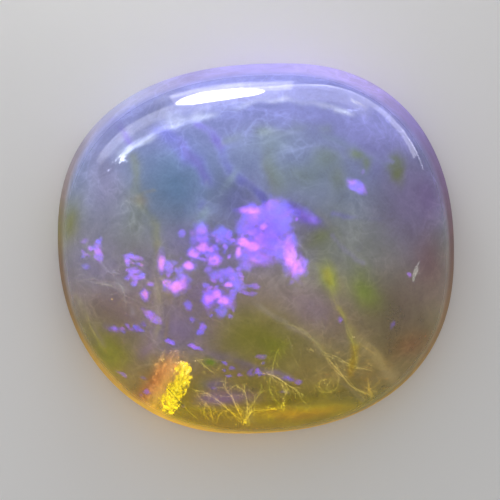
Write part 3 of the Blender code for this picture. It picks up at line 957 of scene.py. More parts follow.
def flake_tree():
    """A soft-edged lens on each point, with an uneven outline."""
    tree, given, out = tree_with_inputs("flash flakes", {
        "Round": "NodeSocketInt", "Rings": "NodeSocketInt", "Ragged": "NodeSocketFloat",
        "Material": "NodeSocketMaterial",
    })
    lens = add_node(tree, "GeometryNodeMeshUVSphere", None, {
        "Segments": given.outputs["Round"], "Rings": given.outputs["Rings"], "Radius": 1.0,
    }).outputs[0]
    lens_place = add_node(tree, "GeometryNodeInputPosition").outputs[0]
    flat = calculate_vector(tree, "MULTIPLY", lens_place, LEVEL)
    out_share = calculate_vector(tree, "LENGTH", flat, output="Value")
    faded = add_node(
        tree, "GeometryNodeStoreNamedAttribute", {"data_type": "FLOAT", "domain": "POINT"},
        {"Geometry": lens, "Name": "out_share", "Value": out_share},
    ).outputs[0]
    instances = add_node(tree, "GeometryNodeInstanceOnPoints", None, {
        "Points": given.outputs["Geometry"], "Instance": faded,
        "Rotation": named_attribute(tree, "turn", "FLOAT_VECTOR"),
        "Scale": named_attribute(tree, "size", "FLOAT_VECTOR"),
    }).outputs[0]
    real = add_node(tree, "GeometryNodeRealizeInstances", None, {"Geometry": instances}).outputs[0]
    place = add_node(tree, "GeometryNodeInputPosition").outputs[0]
    push = soft_noise(tree, place, RAGGED_SIZE, 2.0, output="Color")
    centred = calculate_vector(tree, "SUBTRACT", push, (0.5, 0.5, 0.5))
    level = calculate_vector(tree, "MULTIPLY", centred, LEVEL)
    shift = scaled(tree, level, given.outputs["Ragged"])
    ragged = add_node(tree, "GeometryNodeSetPosition", None, {
        "Geometry": real, "Offset": shift,
    }).outputs[0]
    finish_tree(tree, ragged, given, out)
    return tree


flake_source = flake_points(seed=4)
print("flakes:", len(flake_source.vertices))

# %% [markdown]
# The finish of the flashes shines by itself, because their light comes back from deep in the stone.
# Noise shifts the hue in patches and frays the edge, and the haze over them takes some red and
# green away low in the stone.

# %% The finish of the flashes
FLASH_COLOURS = [(0.0, "#8a7aff"), (0.3, "#9c72ff"), (0.62, "#c47eff"), (1.0, "#ff98f0")]
FLASH_GLOW, FLASH_COVER = 1.3, 1.1  # times the glow in the table
PATCH_SIZE = 0.3  # mm
HUE_SHIFT = 1.5   # how far the patches shift the hue
SOFT_EDGE = (0.05, 0.95)  # where a flake starts to fade and has gone, as shares of the way out


def flash_finish():
    """Play of colour: violet to pink light from evenly stacked spheres, brighter in patches."""
    material, tree, shader = new_finish("violet and pink play of colour")
    place = add_node(tree, "ShaderNodeTexCoord").outputs["Object"]
    glow = stored(tree, "glow")
    patches = soft_noise(tree, place, PATCH_SIZE, 3.0)
    veer = calculate(tree, "MULTIPLY", calculate(tree, "SUBTRACT", patches, 0.45), HUE_SHIFT)
    colour = colour_ramp(tree, calculate(tree, "ADD", stored(tree, "hue"), veer), FLASH_COLOURS)
    warmth = stored(tree, "warmth")
    cast = add_node(tree, "ShaderNodeCombineXYZ", None, {0: warmth, 1: warmth, 2: 1.0}).outputs[0]
    lit = calculate_vector(tree, "MULTIPLY", colour, cast)
    tree.links.new(lit, shader.inputs["Base Color"])
    tree.links.new(lit, shader.inputs["Emission Color"])
    strength = calculate(tree, "MULTIPLY", glow, FLASH_GLOW)
    tree.links.new(strength, shader.inputs["Emission Strength"])
    ragged = calculate(tree, "SUBTRACT", patches, 0.5)
    edge = calculate(tree, "ADD", stored(tree, "out_share"), ragged)
    fade = eased(tree, edge, *SOFT_EDGE, 1.0, 0.0)
    cover = calculate(tree, "MINIMUM", calculate(tree, "MULTIPLY", glow, FLASH_COVER), 1.0)
    tree.links.new(calculate(tree, "MULTIPLY", fade, cover), shader.inputs["Alpha"])
    shader.inputs["Roughness"].default_value = 0.5
    shader.inputs["Specular IOR Level"].default_value = 0.0
    return material


flakes = grown("flashes", flake_source, flake_tree(), {
    "Round": FLAKE_ROUND, "Rings": FLAKE_RINGS, "Ragged": 0.25 * MM, "Material": flash_finish(),
})
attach(flakes, "root")
print("flash faces:", len(flakes.data.polygons))

# %% [markdown]
# Pale fibres run through the haze, and near the lower edge they branch like fern fronds. Each is a
# given path, drawn several times with its own wobble, and one tree turns every path into a tube.
# The tables have the colour, the radius, the number of strands, the spread and the depth, in mm.

# %% Paths of the fibres and of the painted highlight strands
FIBRES = {
    "long pale yellow": ("#b8ac74", 0.012, 5, 0.10, 0.5, [
        (-0.65, -1.96), (0.04, -2.28), (0.73, -2.77), (1.66, -3.13), (2.30, -3.62), (2.95, -4.38),
        (3.27, -4.79), (3.87, -5.51), (4.63, -5.95),
    ]),
    "green yellow": ("#b4b04c", 0.018, 4, 0.12, 0.6, [
        (2.2, -0.5), (2.91, -0.9), (3.15, -2.04), (3.64, -2.89), (3.88, -3.74), (4.04, -4.83),
    ]),
    "right branch": ("#b0984c", 0.016, 3, 0.10, 0.5, [(3.92, -3.53), (4.81, -4.26), (5.82, -5.27)]),
    "left upright": ("#a89c74", 0.012, 6, 0.30, 0.5, [
        (-4.0, 0.0), (-3.88, -2.04), (-3.96, -3.66), (-4.36, -4.95),
    ]),
    "left net one": ("#b4b0a0", 0.009, 4, 0.06, 0.4, [
        (-6.79, -1.27), (-6.1, -1.43), (-5.53, -1.43), (-5.23, -2.08), (-5.17, -2.61),
    ]),
    "left net two": ("#b8b0c0", 0.012, 4, 0.05, 0.4, [(-6.26, -0.38), (-6.02, -0.79), (-5.53, -0.99)]),
    "left net three": ("#b4a45c", 0.016, 3, 0.08, 0.4, [
        (-7.0, -2.28), (-6.79, -2.93), (-6.46, -3.54), (-6.06, -4.26),
    ]),
    "bruise": ("#d4e4d8", 0.022, 6, 0.10, 0.2, [(6.35, -1.35), (6.42, -0.95), (6.6, -0.5)]),
    "left net four": ("#bcb49c", 0.012, 4, 0.07, 0.4, [(-6.91, -1.23), (-6.0, -1.4), (-5.09, -1.72)]),
}
# Painted highlights: glowing strands along the lights' arc under the upper edge and the crease at the
# upper right
PAINTED_HIGHLIGHT_STRANDS = {
    "left end": ("#e8eaff", 0.014, 16, 0.12, 0.04, [
        (-5.66, 3.62), (-5.3, 3.9), (-4.81, 4.22), (-4.3, 4.6),
    ]),
    "left arc": ("#d0d4ff", 0.012, 20, 0.15, 0.04, [
        (-4.81, 4.22), (-3.88, 4.83), (-2.67, 5.15), (-1.86, 5.27),
    ]),
    "arc": ("#b8bcff", 0.008, 4, 0.10, 0.04, [
        (-1.86, 5.27), (-0.77, 5.56), (0.77, 5.96), (1.78, 5.96), (2.79, 5.76),
    ]),
    "right end": ("#e0e4ff", 0.010, 5, 0.06, 0.04, [(2.79, 5.76), (3.6, 5.6), (4.2, 5.76)]),
    "far left": ("#b0b4e8", 0.008, 4, 0.10, 0.04, [(-6.9, 2.2), (-6.7, 3.0), (-6.2, 3.7)]),
    "upper right": ("#d0d4ff", 0.009, 3, 0.04, 0.04, [(5.25, 4.9), (5.8, 4.45), (6.4, 4.0)]),
    "right edge": ("#b8b0e0", 0.008, 3, 0.05, 0.04, [(6.8, 3.6), (7.15, 2.9), (7.3, 2.2)]),
}
print("fibres:", len(FIBRES), "scratches:", len(PAINTED_HIGHLIGHT_STRANDS))

# %% Strands along the paths
STRAND_STEP = 0.07  # mm between points of a strand
LOWEST_STRAND = 0.9 * MM
LUMPS = (0.4, 1.9)  # the thinnest and the thickest place of a lumpy strand, times its radius


def smooth_path(points):
    """A curve through the points, as closely stepped points."""
    ends = [points[0], *points, points[-1]]
    made = []
    for a, b, c, d in zip(ends, ends[1:], ends[2:], ends[3:]):
        a, b, c, d = (Vector(p) for p in (a, b, c, d))
        steps = max(2, round((c - b).length / STRAND_STEP))
        for step in range(steps):
            t = step / steps
            bend = (2 * a - 5 * b + 4 * c - d) * t**2 + (3 * b - a - 3 * c + d) * t**3
            made.append(0.5 * (2 * b + (c - a) * t + bend))
    return [*made, Vector(points[-1])]


class Strands:
    """Paths gathered into one mesh of edges with a radius and a colour at each point."""

    def __init__(self):
        """No paths yet."""
        self.places, self.edges, self.radii, self.colours = [], [], [], []

    def add(self, points, radius, colour, taper=0.3, lumps=None):
        """A path of (right, up, depth) in mm. It thins towards both ends and stops at the wall."""
        start = len(self.places)
        places = [seen_through(*point)[0] for point in points]
        inside = [place is not None and place.z > LOWEST_STRAND for place in places]
        places = places[: inside.index(False)] if False in inside else places
        for number, place in enumerate(places):
            share = number / max(1, len(places) - 1)
            thin = taper + (1 - taper) * math.sin(math.pi * share) ** 0.5
            self.places.append(place)
            lump = lumps.uniform(*LUMPS) if lumps else 1
            self.radii.append(radius * thin * lump * MM)
            self.colours.append((*to_linear(srgb(colour)), 1))
            if number:
                self.edges.append((start + number - 1, start + number))

    def mesh(self, name):
        """All the paths as one mesh."""
        mesh = bpy.data.meshes.new(name)
        mesh.from_pydata([tuple(p) for p in self.places], self.edges, [])
        set_attribute(mesh, "tube_radius", "FLOAT", self.radii)
        set_attribute(mesh, "thread_colour", "FLOAT_COLOR", self.colours)
        return mesh


def wobbled(path, amount, depth, pick):
    """A copy of the path that wanders to both sides and in depth, in mm."""
    phase = pick.uniform(0, 100)
    offset = Vector((pick.uniform(-amount, amount), pick.uniform(-amount, amount))) * 0.5
    points = []
    for number, point in enumerate(path):
        wander = noise.noise_vector(Vector((number * 0.09 + phase, phase, 0.0)))
        fine = noise.noise_vector(Vector((number * 0.35 + phase, 7.0, phase)))
        place = point + offset + wander.xy * amount * 1.6 + fine.xy * amount * 0.3
        points.append((place.x, place.y, max(0.5 * depth, depth + wander.z * 0.5 * depth)))
    return points


def tube_tree():
    """Every path of edges becomes a round tube."""
    tree, given, out = tree_with_inputs("tubes along paths", {
        "Sides": "NodeSocketInt", "Material": "NodeSocketMaterial",
    })
    curve = add_node(tree, "GeometryNodeMeshToCurve", None, {
        "Mesh": given.outputs["Geometry"],
    }).outputs[0]
    sized = add_node(tree, "GeometryNodeSetCurveRadius", None, {
        "Curve": curve, "Radius": named_attribute(tree, "tube_radius", "FLOAT"),
    }).outputs[0]
    ring = add_node(tree, "GeometryNodeCurvePrimitiveCircle", None, {
        "Resolution": given.outputs["Sides"], "Radius": 1.0,
    }).outputs[0]
    tubes = add_node(tree, "GeometryNodeCurveToMesh", None, {
        "Curve": sized, "Profile Curve": ring, "Fill Caps": True,
        "Scale": named_attribute(tree, "tube_radius", "FLOAT"),
    })
    smooth = add_node(tree, "GeometryNodeSetShadeSmooth", None, {"Geometry": tubes.outputs[0]}).outputs[0]
    finish_tree(tree, smooth, given, out)
    return tree


def thread_finish(name, glow):
    """Pale mineral threads and grains: dull, with a glow of painted light for the light that the haze
    scatters onto them, and painted highlights along the upper edge.
    """
    material, tree, shader = new_finish(name)
    colour = stored(tree, "thread_colour", "Color")
    tree.links.new(colour, shader.inputs["Base Color"])
    tree.links.new(colour, shader.inputs["Emission Color"])
    shader.inputs["Emission Strength"].default_value = glow
    shader.inputs["Roughness"].default_value = 0.6
    return material


print("points along the first fibre:", len(smooth_path(FIBRES["long pale yellow"][-1])))

# %% [markdown]
# The fibres are bundles of strands, each a piece of its path. Tangles of short curved hairs, drawn
# at random within an area, fill the haze between them.

# %% The fibres and the hairs
FIBRE_COPIES = 2
HAIRS = [  # (middle, half size, count, colour) of tangles of short curved hairs, in mm
    ((-6.0, -1.2), (1.0, 1.3), 26, "#b4b0a4"), ((-6.3, -3.2), (0.7, 1.0), 16, "#b0a46c"),
    ((-4.0, -2.2), (0.5, 1.8), 16, "#b0a480"), ((-7.1, -0.3), (0.4, 0.7), 12, "#c0b8b0"),
    ((2.6, -2.6), (1.4, 1.0), 18, "#a89c8c"), ((4.2, -4.6), (1.2, 0.8), 20, "#b8a060"),
    ((1.6, -5.2), (1.6, 0.7), 22, "#b8a860"), ((-1.2, -5.8), (1.2, 0.8), 22, "#b8a454"),
]
HAIR_STEPS, HAIR_BEND, HAIR_UNEVEN = (8, 26), 0.09, 0.05  # points, and radians at each point
HAIR_DEPTHS, HAIR_RADII, HAIR_WOBBLE = (0.25, 0.6), (0.004, 0.009), 0.04  # mm
pick = random.Random(11)  # the fibres, the painted highlight strands and the fronds draw from it in turn
strands = Strands()
for colour, radius, copies, spread, depth, path in FIBRES.values():
    for _ in range(copies * FIBRE_COPIES):
        whole = smooth_path(path)
        first = pick.randrange(0, len(whole) // 2)
        piece = whole[first : first + pick.randrange(len(whole) // 3, len(whole))]
        strand = wobbled(piece, spread * pick.uniform(0.5, 2.2), depth, pick)
        strands.add(strand, radius * pick.uniform(0.3, 0.6), colour)
for centre, half_size, count, colour in HAIRS:
    for _ in range(count):
        place = Vector([pick.gauss(c, h * 0.6) for c, h in zip(centre, half_size)])
        angle, bend = pick.uniform(0, math.tau), pick.gauss(0, HAIR_BEND)
        hair = []
        for _ in range(pick.randrange(*HAIR_STEPS)):
            hair.append(place.copy())
            angle += bend + pick.gauss(0, HAIR_UNEVEN)
            place += Vector((math.cos(angle), math.sin(angle))) * STRAND_STEP
        strand = wobbled(hair, HAIR_WOBBLE, pick.uniform(*HAIR_DEPTHS), pick)
        strands.add(strand, pick.uniform(*HAIR_RADII), colour)
fibres = grown("fibres", strands.mesh("fibre paths"), tube_tree(), {
    "Sides": 5, "Material": thread_finish("pale mineral fibres", 0.6),
})
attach(fibres, "root")
print("fibre faces:", len(fibres.data.polygons))

# %% [markdown]
# Bright strands along the upper edge are painted highlights: the shine of the lights along the arc
# under the edge and along the crease at the upper right, drawn as fine glowing lines. They lie just
# under the skin, and each is a short piece of its path.

# %% The painted highlight strands
strands = Strands()
for colour, radius, copies, spread, depth, path in PAINTED_HIGHLIGHT_STRANDS.values():
    for _ in range(copies):
        whole = smooth_path(path)
        first = pick.randrange(0, len(whole) * 2 // 3)
        piece = whole[first : first + pick.randrange(4, max(5, len(whole) // 2))]
        strands.add(wobbled(piece, spread, depth, pick), radius * pick.uniform(0.4, 1.0), colour)
# The strands glow as painted highlights
scratches = grown("scratches", strands.mesh("scratch paths"), tube_tree(), {
    "Sides": 5, "Material": thread_finish("bright polishing scratches", 1.2),
})
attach(scratches, "root")
print("scratch faces:", len(scratches.data.polygons))

# %% [markdown]
# Fronds branch up from the lower edge, where minerals grew into fine cracks. A stem follows its
# path, and twigs leave it at random and branch again, each thinner than the one it grows from.

# %% How a frond grows
TWIG_STEP = 0.06  # mm between points of a twig
TWIG_CHANCE, BRANCH_CHANCE = 0.22, 0.34  # at each point of a stem, and of a twig
TWIG_BEND = 0.28  # radians at each point
LAST_ORDER, THINNER = 3, 0.7  # a stem is of the first order, and a branch is this much thinner
TWIG_SHARE, TWIG_LENGTHS = 0.26, (0.15, 0.6)  # of the stem's radius, and mm
STEM_DEPTH = 0.3  # mm
STEM_COPIES = [(0.05, 0.52), (0.11, 0.20), (0.11, 0.20)]  # wobble in mm and share of the radius


def grow_frond(start, direction, length, radius, depth, colour, order):
    """A branching frond: a bent stem with thinner side branches, down to the third order."""
    steps = max(3, round(length / TWIG_STEP))
    place, angle, points = Vector(start), direction, []
    for step in range(steps + 1):
        points.append((place.x, place.y, depth))
        angle += pick.gauss(0, TWIG_BEND)
        place = place + Vector((math.cos(angle), math.sin(angle))) * (length / steps)
        if order < LAST_ORDER and 0 < step < steps and pick.random() < BRANCH_CHANCE:
            side = pick.choice((-1, 1)) * pick.uniform(0.3, 0.8)
            rest = length * (1 - step / steps) * pick.uniform(0.4, 0.8)
            deep = depth + pick.uniform(-0.05, 0.05)
            grow_frond(place, angle + side, rest, radius * THINNER, deep, colour, order + 1)
    strands.add(points, radius, colour, taper=0.45, lumps=pick)


print("steps in a twig 1 mm long:", round(1 / TWIG_STEP))

# %% Paths of the fronds: colour, radius in mm and the path
FRONDS = {
    "first, far left": ("#d8c46c", 0.016, [
        (-0.44, -7.0), (-0.60, -6.9), (-0.97, -6.6), (-1.37, -6.28), (-1.78, -5.96), (-2.2, -5.7),
    ]),
    "first, left": ("#e0cc78", 0.015, [
        (-0.44, -7.0), (-0.75, -6.48), (-0.90, -5.98), (-1.25, -5.52), (-1.37, -5.27),
    ]),
    "first, upright": ("#d8c878", 0.015, [
        (-0.42, -7.0), (-0.29, -6.48), (-0.34, -5.96), (-0.50, -5.68), (-0.80, -5.47),
    ]),
    "first, right": ("#e8d878", 0.014, [
        (-0.40, -7.0), (-0.20, -6.57), (0.06, -6.48), (0.57, -6.44), (0.87, -6.43),
    ]),
    "first, up right": ("#c8c060", 0.013, [(-0.24, -6.48), (-0.04, -6.08), (0.24, -5.76), (0.65, -5.63)]),
    "second, left": ("#ccb45c", 0.013, [
        (-1.58, -7.0), (-1.76, -6.77), (-1.86, -6.36), (-2.26, -5.96), (-2.42, -5.84),
    ]),
    "second, right": ("#ccb45c", 0.012, [(-1.58, -7.0), (-1.54, -6.77), (-1.37, -6.57), (-1.05, -6.48)]),
    "second, far left": ("#c4b060", 0.012, [(-1.86, -6.95), (-2.06, -6.57), (-1.98, -6.08)]),
    "stem": ("#a09840", 0.016, [
        (1.37, -3.55), (0.97, -3.96), (0.77, -4.36), (0.67, -4.97), (0.57, -5.47), (0.72, -5.98),
        (1.01, -6.32), (1.13, -6.65),
    ]),
    "sprig": ("#e0d090", 0.014, [
        (0.06, -4.97), (0.46, -5.03), (0.87, -5.17), (1.27, -5.43), (1.62, -5.64), (1.82, -5.86),
    ]),
    "small sprig": ("#c8b868", 0.012, [(-2.46, -4.36), (-2.06, -4.67), (-1.66, -5.03)]),
    "curl": ("#b0a050", 0.011, [
        (2.38, -5.47), (2.59, -5.72), (2.99, -5.78), (3.29, -5.51), (3.09, -5.27), (2.69, -5.31),
        (2.55, -5.6), (2.9, -5.9),
    ]),
    "right line": ("#c8b878", 0.011, [(2.69, -4.16), (3.29, -4.36), (3.8, -4.67), (4.5, -4.87)]),
    "right tuft": ("#c8a84c", 0.012, [(4.3, -5.88), (4.71, -5.57), (5.11, -5.17)]),
    "right tuft, left": ("#c8a84c", 0.012, [(4.81, -5.98), (4.6, -5.68), (4.5, -5.27)]),
    "end of the long strand": ("#d0b878", 0.012, [(2.9, -4.4), (3.3, -4.9), (3.9, -5.5), (4.7, -5.95)]),
}
print("fronds:", len(FRONDS))

# %% Grow the fronds
strands = Strands()
for colour, radius, path in FRONDS.values():
    for wobble, share in STEM_COPIES:
        stem = wobbled(smooth_path(path), wobble, STEM_DEPTH, pick)
        strands.add(stem, radius * share, colour, taper=0.4, lumps=pick)
        for (x0, y0, depth), (x1, y1, _) in zip(stem[2:], stem[3:]):
            if pick.random() < TWIG_CHANCE:
                side = pick.choice((-1, 1)) * pick.uniform(0.3, 0.9)
                length = pick.uniform(*TWIG_LENGTHS)
                direction = math.atan2(y1 - y0, x1 - x0) + side
                grow_frond((x0, y0), direction, length, radius * TWIG_SHARE, depth, colour, 2)
crack = [(-3.66, -5.50), (-3.36, -5.84), (-3.12, -6.12), (-2.92, -6.32)]
strands.add([(*point, 0.12) for point in smooth_path(crack)], 0.014, "#2c2404", taper=0.5)
strands.add([(*point, 0.10) for point in smooth_path(crack[-2:])], 0.034, "#0c0a02", taper=0.5)
pale_line = [(-2.92, -6.30), (-2.70, -6.55), (-2.34, -6.86)]
strands.add([(*point, 0.15) for point in smooth_path(pale_line)], 0.010, "#c8b860")
fronds = grown("fronds", strands.mesh("frond paths"), tube_tree(), {
    "Sides": 5, "Material": thread_finish("pale yellow mineral fronds", 1.4),
})
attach(fronds, "root")
print("frond faces:", len(fronds.data.polygons))

# %% [markdown]
# Bright specks and nicks catch the light here and there: crystals at the feet of the fronds, a
# white bruise at the right, and a chipped place at the upper left. They glow, and the white grains
# at the chipped place and along the arc under the upper edge are painted glints. Each is a cluster
# of small faceted grains, which a tree sets on points. The table has the colour, mm right and up,
# the half sizes of the cluster in mm, its turn, the count, the size of a grain and the depth in mm.

# %% Where the specks are
SPECKS_AND_GLINTS = {
    "foot of the first fronds": ("#fff070", -0.42, -7.02, 0.30, 0.12, 0, 26, 0.026, 0.25),
    "stem of the first fronds": ("#f0e080", -0.42, -6.72, 0.12, 0.28, 0, 16, 0.022, 0.30),
    "cross shaped crystal": ("#fff48c", 0.80, -6.42, 0.55, 0.04, 0, 30, 0.022, 0.25),
    "crystal beside it": ("#fff48c", 1.12, -6.25, 0.12, 0.30, 0, 24, 0.026, 0.25),
    "dust on the curl": ("#f8f0a0", 2.9, -5.5, 0.40, 0.30, 0, 30, 0.016, 0.28),
    "dust on the long strand": ("#f0e8b0", 3.2, -4.6, 0.30, 0.90, 40, 30, 0.014, 0.30),
    "bright tip": ("#fff8b0", 1.85, -5.85, 0.06, 0.14, 20, 9, 0.020, 0.25),
    "dust trail": ("#e0d090", 2.1, -4.1, 0.8, 0.25, -25, 26, 0.014, 0.35),
    "dust cluster": ("#f0d890", 2.25, -4.05, 0.10, 0.08, 0, 9, 0.020, 0.3),
    "pale crystals at the flaw": ("#ffe4a8", -3.05, -4.60, 0.50, 0.12, 0, 30, 0.026, 0.3),
    "pale crystal above the flaw": ("#ffe890", -3.80, -4.50, 0.12, 0.08, 0, 9, 0.028, 0.25),
    "yellow speck at the left": ("#f0d060", -5.82, -2.00, 0.03, 0.03, 0, 3, 0.030, 0.3),
    "dust at the left": ("#c8b880", -5.6, -3.5, 0.9, 0.6, 0, 14, 0.010, 0.35),
    "pale speck right": ("#e8e0c0", 3.92, -3.54, 0.12, 0.02, -15, 6, 0.018, 0.3),
    "white bruise": ("#e8f0ec", 6.46, -0.90, 0.06, 0.30, -12, 22, 0.022, 0.20),
    "arms of the bruise": ("#c8d0cc", 6.55, -0.95, 0.22, 0.05, 10, 10, 0.012, 0.22),
    "red speck": ("#ff8c70", 6.85, -3.50, 0.02, 0.02, 0, 2, 0.024, 0.25),
    # Painted glints: white glowing grains where the lights show in the polish, at a chip and along the
    # arc
    "chipped place with painted glint": ("#ffffff", -5.42, 3.68, 0.16, 0.36, -38, 44, 0.046, 0.05),
    "painted glints along the arc": ("#f0f4ff", -4.85, 4.35, 0.16, 0.60, -50, 34, 0.026, 0.05),
    "painted glints farther along": ("#f0f4ff", -2.3, 5.25, 0.45, 0.08, 22, 26, 0.032, 0.05),
    "painted glints at the right end": ("#f0f4ff", 3.9, 5.62, 0.45, 0.07, 8, 34, 0.034, 0.05),
    "single chip with painted glint": ("#f0f0ff", -5.95, 3.20, 0.14, 0.05, 35, 8, 0.030, 0.05),
    "dust in the haze": ("#d0d0e0", 0.0, 0.0, 4.5, 4.0, 0, 60, 0.008, 0.4),
    "dust near the lower edge": ("#e8d890", 0.5, -5.6, 3.0, 0.6, 0, 40, 0.010, 0.35),
}
print("specks:", sum(row[6] for row in SPECKS_AND_GLINTS.values()))


# %% Grow the specks
def speck_points(seed):
    """Points for the grains, with a size, a turn and a colour each."""
    pick = random.Random(seed)
    places, sizes, turns, colours = [], [], [], []
    for colour, right, up, half_long, half_wide, turn, count, grain, depth in SPECKS_AND_GLINTS.values():
        angle = math.radians(turn)
        for _ in range(count):
            a, b = pick.gauss(0, 0.5) * half_long, pick.gauss(0, 0.5) * half_wide
            u = right + a * math.cos(angle) - b * math.sin(angle)
            v = up + a * math.sin(angle) + b * math.cos(angle)
            places.append(seen_through(u, v, depth * pick.uniform(0.9, 1.3))[0])
            size = grain * MM * pick.uniform(0.4, 1.1)
            sizes.append((size, size * pick.uniform(0.5, 1.0), size * pick.uniform(0.3, 0.7)))
            turns.append(tuple(pick.uniform(0, math.tau) for _ in range(3)))
            colours.append((*to_linear(srgb(colour)), 1))
    mesh = points_mesh("speck points", places)
    set_attribute(mesh, "size", "FLOAT_VECTOR", sizes)
    set_attribute(mesh, "turn", "FLOAT_VECTOR", turns)
    set_attribute(mesh, "thread_colour", "FLOAT_COLOR", colours)
    return mesh


def speck_tree():
    """A faceted grain on each point."""
    tree, given, out = tree_with_inputs("faceted grains", {
        "Fineness": "NodeSocketInt", "Material": "NodeSocketMaterial",
    })
    grain = add_node(tree, "GeometryNodeMeshIcoSphere", None, {
        "Radius": 1.0, "Subdivisions": given.outputs["Fineness"],
    }).outputs[0]
    instances = add_node(tree, "GeometryNodeInstanceOnPoints", None, {
        "Points": given.outputs["Geometry"], "Instance": grain,
        "Rotation": named_attribute(tree, "turn", "FLOAT_VECTOR"),
        "Scale": named_attribute(tree, "size", "FLOAT_VECTOR"),
    }).outputs[0]
    finish_tree(tree, instances, given, out)
    return tree


specks = grown("specks", speck_points(seed=8), speck_tree(), {
    "Fineness": 1, "Material": thread_finish("bright mineral specks", 2.0),
})
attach(specks, "root")
print("speck faces:", len(specks.data.polygons))

# %% [markdown]
# The golden flaw near the lower left is a leaf of shining crystals, with an orange haze beside it.
# Each leaf is a given outline, filled with small facets. Its streaks run along it, and its edge
# is frayed by fading it out over a ragged width.

# %% Outlines of the golden flaw and its haze
LEAVES = {  # depth and frayed width in mm, raggedness, cover, glow, streak colours, outline
    "golden_flaw": (0.35, 0.24, 1.5, 1.0, 1.25, ("#4c4200", "#b09800", "#f0dc00", "#ffec00", "#fff890"), [
        (-3.40, -4.55), (-2.95, -4.50), (-2.56, -4.60), (-2.52, -4.95), (-2.56, -5.31),
        (-2.72, -5.62), (-2.82, -5.88), (-2.95, -6.12), (-3.05, -6.32), (-3.17, -6.50),
        (-3.37, -6.72), (-3.68, -6.68), (-3.88, -6.50), (-3.74, -6.32), (-4.05, -6.12),
        (-3.88, -5.88), (-3.63, -5.52), (-3.42, -5.22), (-3.30, -4.90),
    ]),
    "orange_haze": (0.50, 0.80, 1.6, 0.75, 1.0, ("#a88460", "#b89068", "#c49c6c", "#d0a678", "#e4c090"), [
        (-4.25, -4.50), (-3.60, -3.95), (-2.70, -4.10), (-2.60, -5.00), (-3.10, -5.90),
        (-3.50, -6.60), (-4.15, -7.10), (-4.95, -6.65), (-4.65, -5.90), (-4.40, -5.20),
    ]),
}
LEAF_GRAIN, LEAF_RELIEF, LEAF_THICKNESS = 0.05, 0.06, 0.05  # mm
LEAF_UNEVEN = 0.3  # how far a corner may be off its place, as a share of the grain
LEAF_STREAKS = math.radians(60)  # from the X axis to the way that the streaks run
LEAF_STREAK_SIZE = 0.17  # mm
LEAF_STRETCH = (4.2, 1.0, 1.0)   # how much longer than wide the streaks are
LEAF_STOPS = (0.0, 0.012, 0.040, 0.11, 0.20)  # of the colours, from the middle of a gap outwards
print("points in the outline of the flaw:", len(LEAVES["golden_flaw"][-1]))


# %% Finish and facets of a leaf
def inside_outline(right, up, outline):
    """Whether a point is inside a closed outline."""
    inside = False
    for (x0, y0), (x1, y1) in zip(outline, outline[1:] + outline[:1]):
        if (y0 > up) != (y1 > up) and right < (x1 - x0) * (up - y0) / (y1 - y0) + x0:
            inside = not inside
    return inside


def leaf_finish(name, fray, raggedness, cover, glow, colours):
    """Crystal leaf: pale crystals that shine, with thin dark gaps along them and a frayed edge."""
    material, tree, shader = new_finish(name.replace("_", " ") + " crystals")
    place = add_node(tree, "ShaderNodeTexCoord").outputs["Object"]
    along = add_node(tree, "ShaderNodeMapping", {"vector_type": "TEXTURE"}, {
        "Vector": place, "Rotation": (0, 0, LEAF_STREAKS), "Scale": LEAF_STRETCH,
    }).outputs[0]
    streaks = soft_noise(tree, along, LEAF_STREAK_SIZE, 3.0, 0.55, 0.6)
    off_middle = calculate(tree, "SUBTRACT", streaks, 0.5)
    off_gap = calculate(tree, "ABSOLUTE", off_middle)
    colour = colour_ramp(tree, off_gap, list(zip(LEAF_STOPS, colours)))
    tree.links.new(colour, shader.inputs["Base Color"])
    # The glow is painted light, for the shine that the crystals and the haze send back
    tree.links.new(colour, shader.inputs["Emission Color"])
    shader.inputs["Emission Strength"].default_value = glow
    ragged = calculate(tree, "MULTIPLY", off_middle, raggedness)
    edge = calculate(tree, "ADD", stored(tree, "within"), ragged)
    frayed = eased(tree, edge, 0.0, fray, 0.0, 1.0)
    tree.links.new(calculate(tree, "MULTIPLY", frayed, cover), shader.inputs["Alpha"])
    shader.inputs["Roughness"].default_value = 0.4
    return material


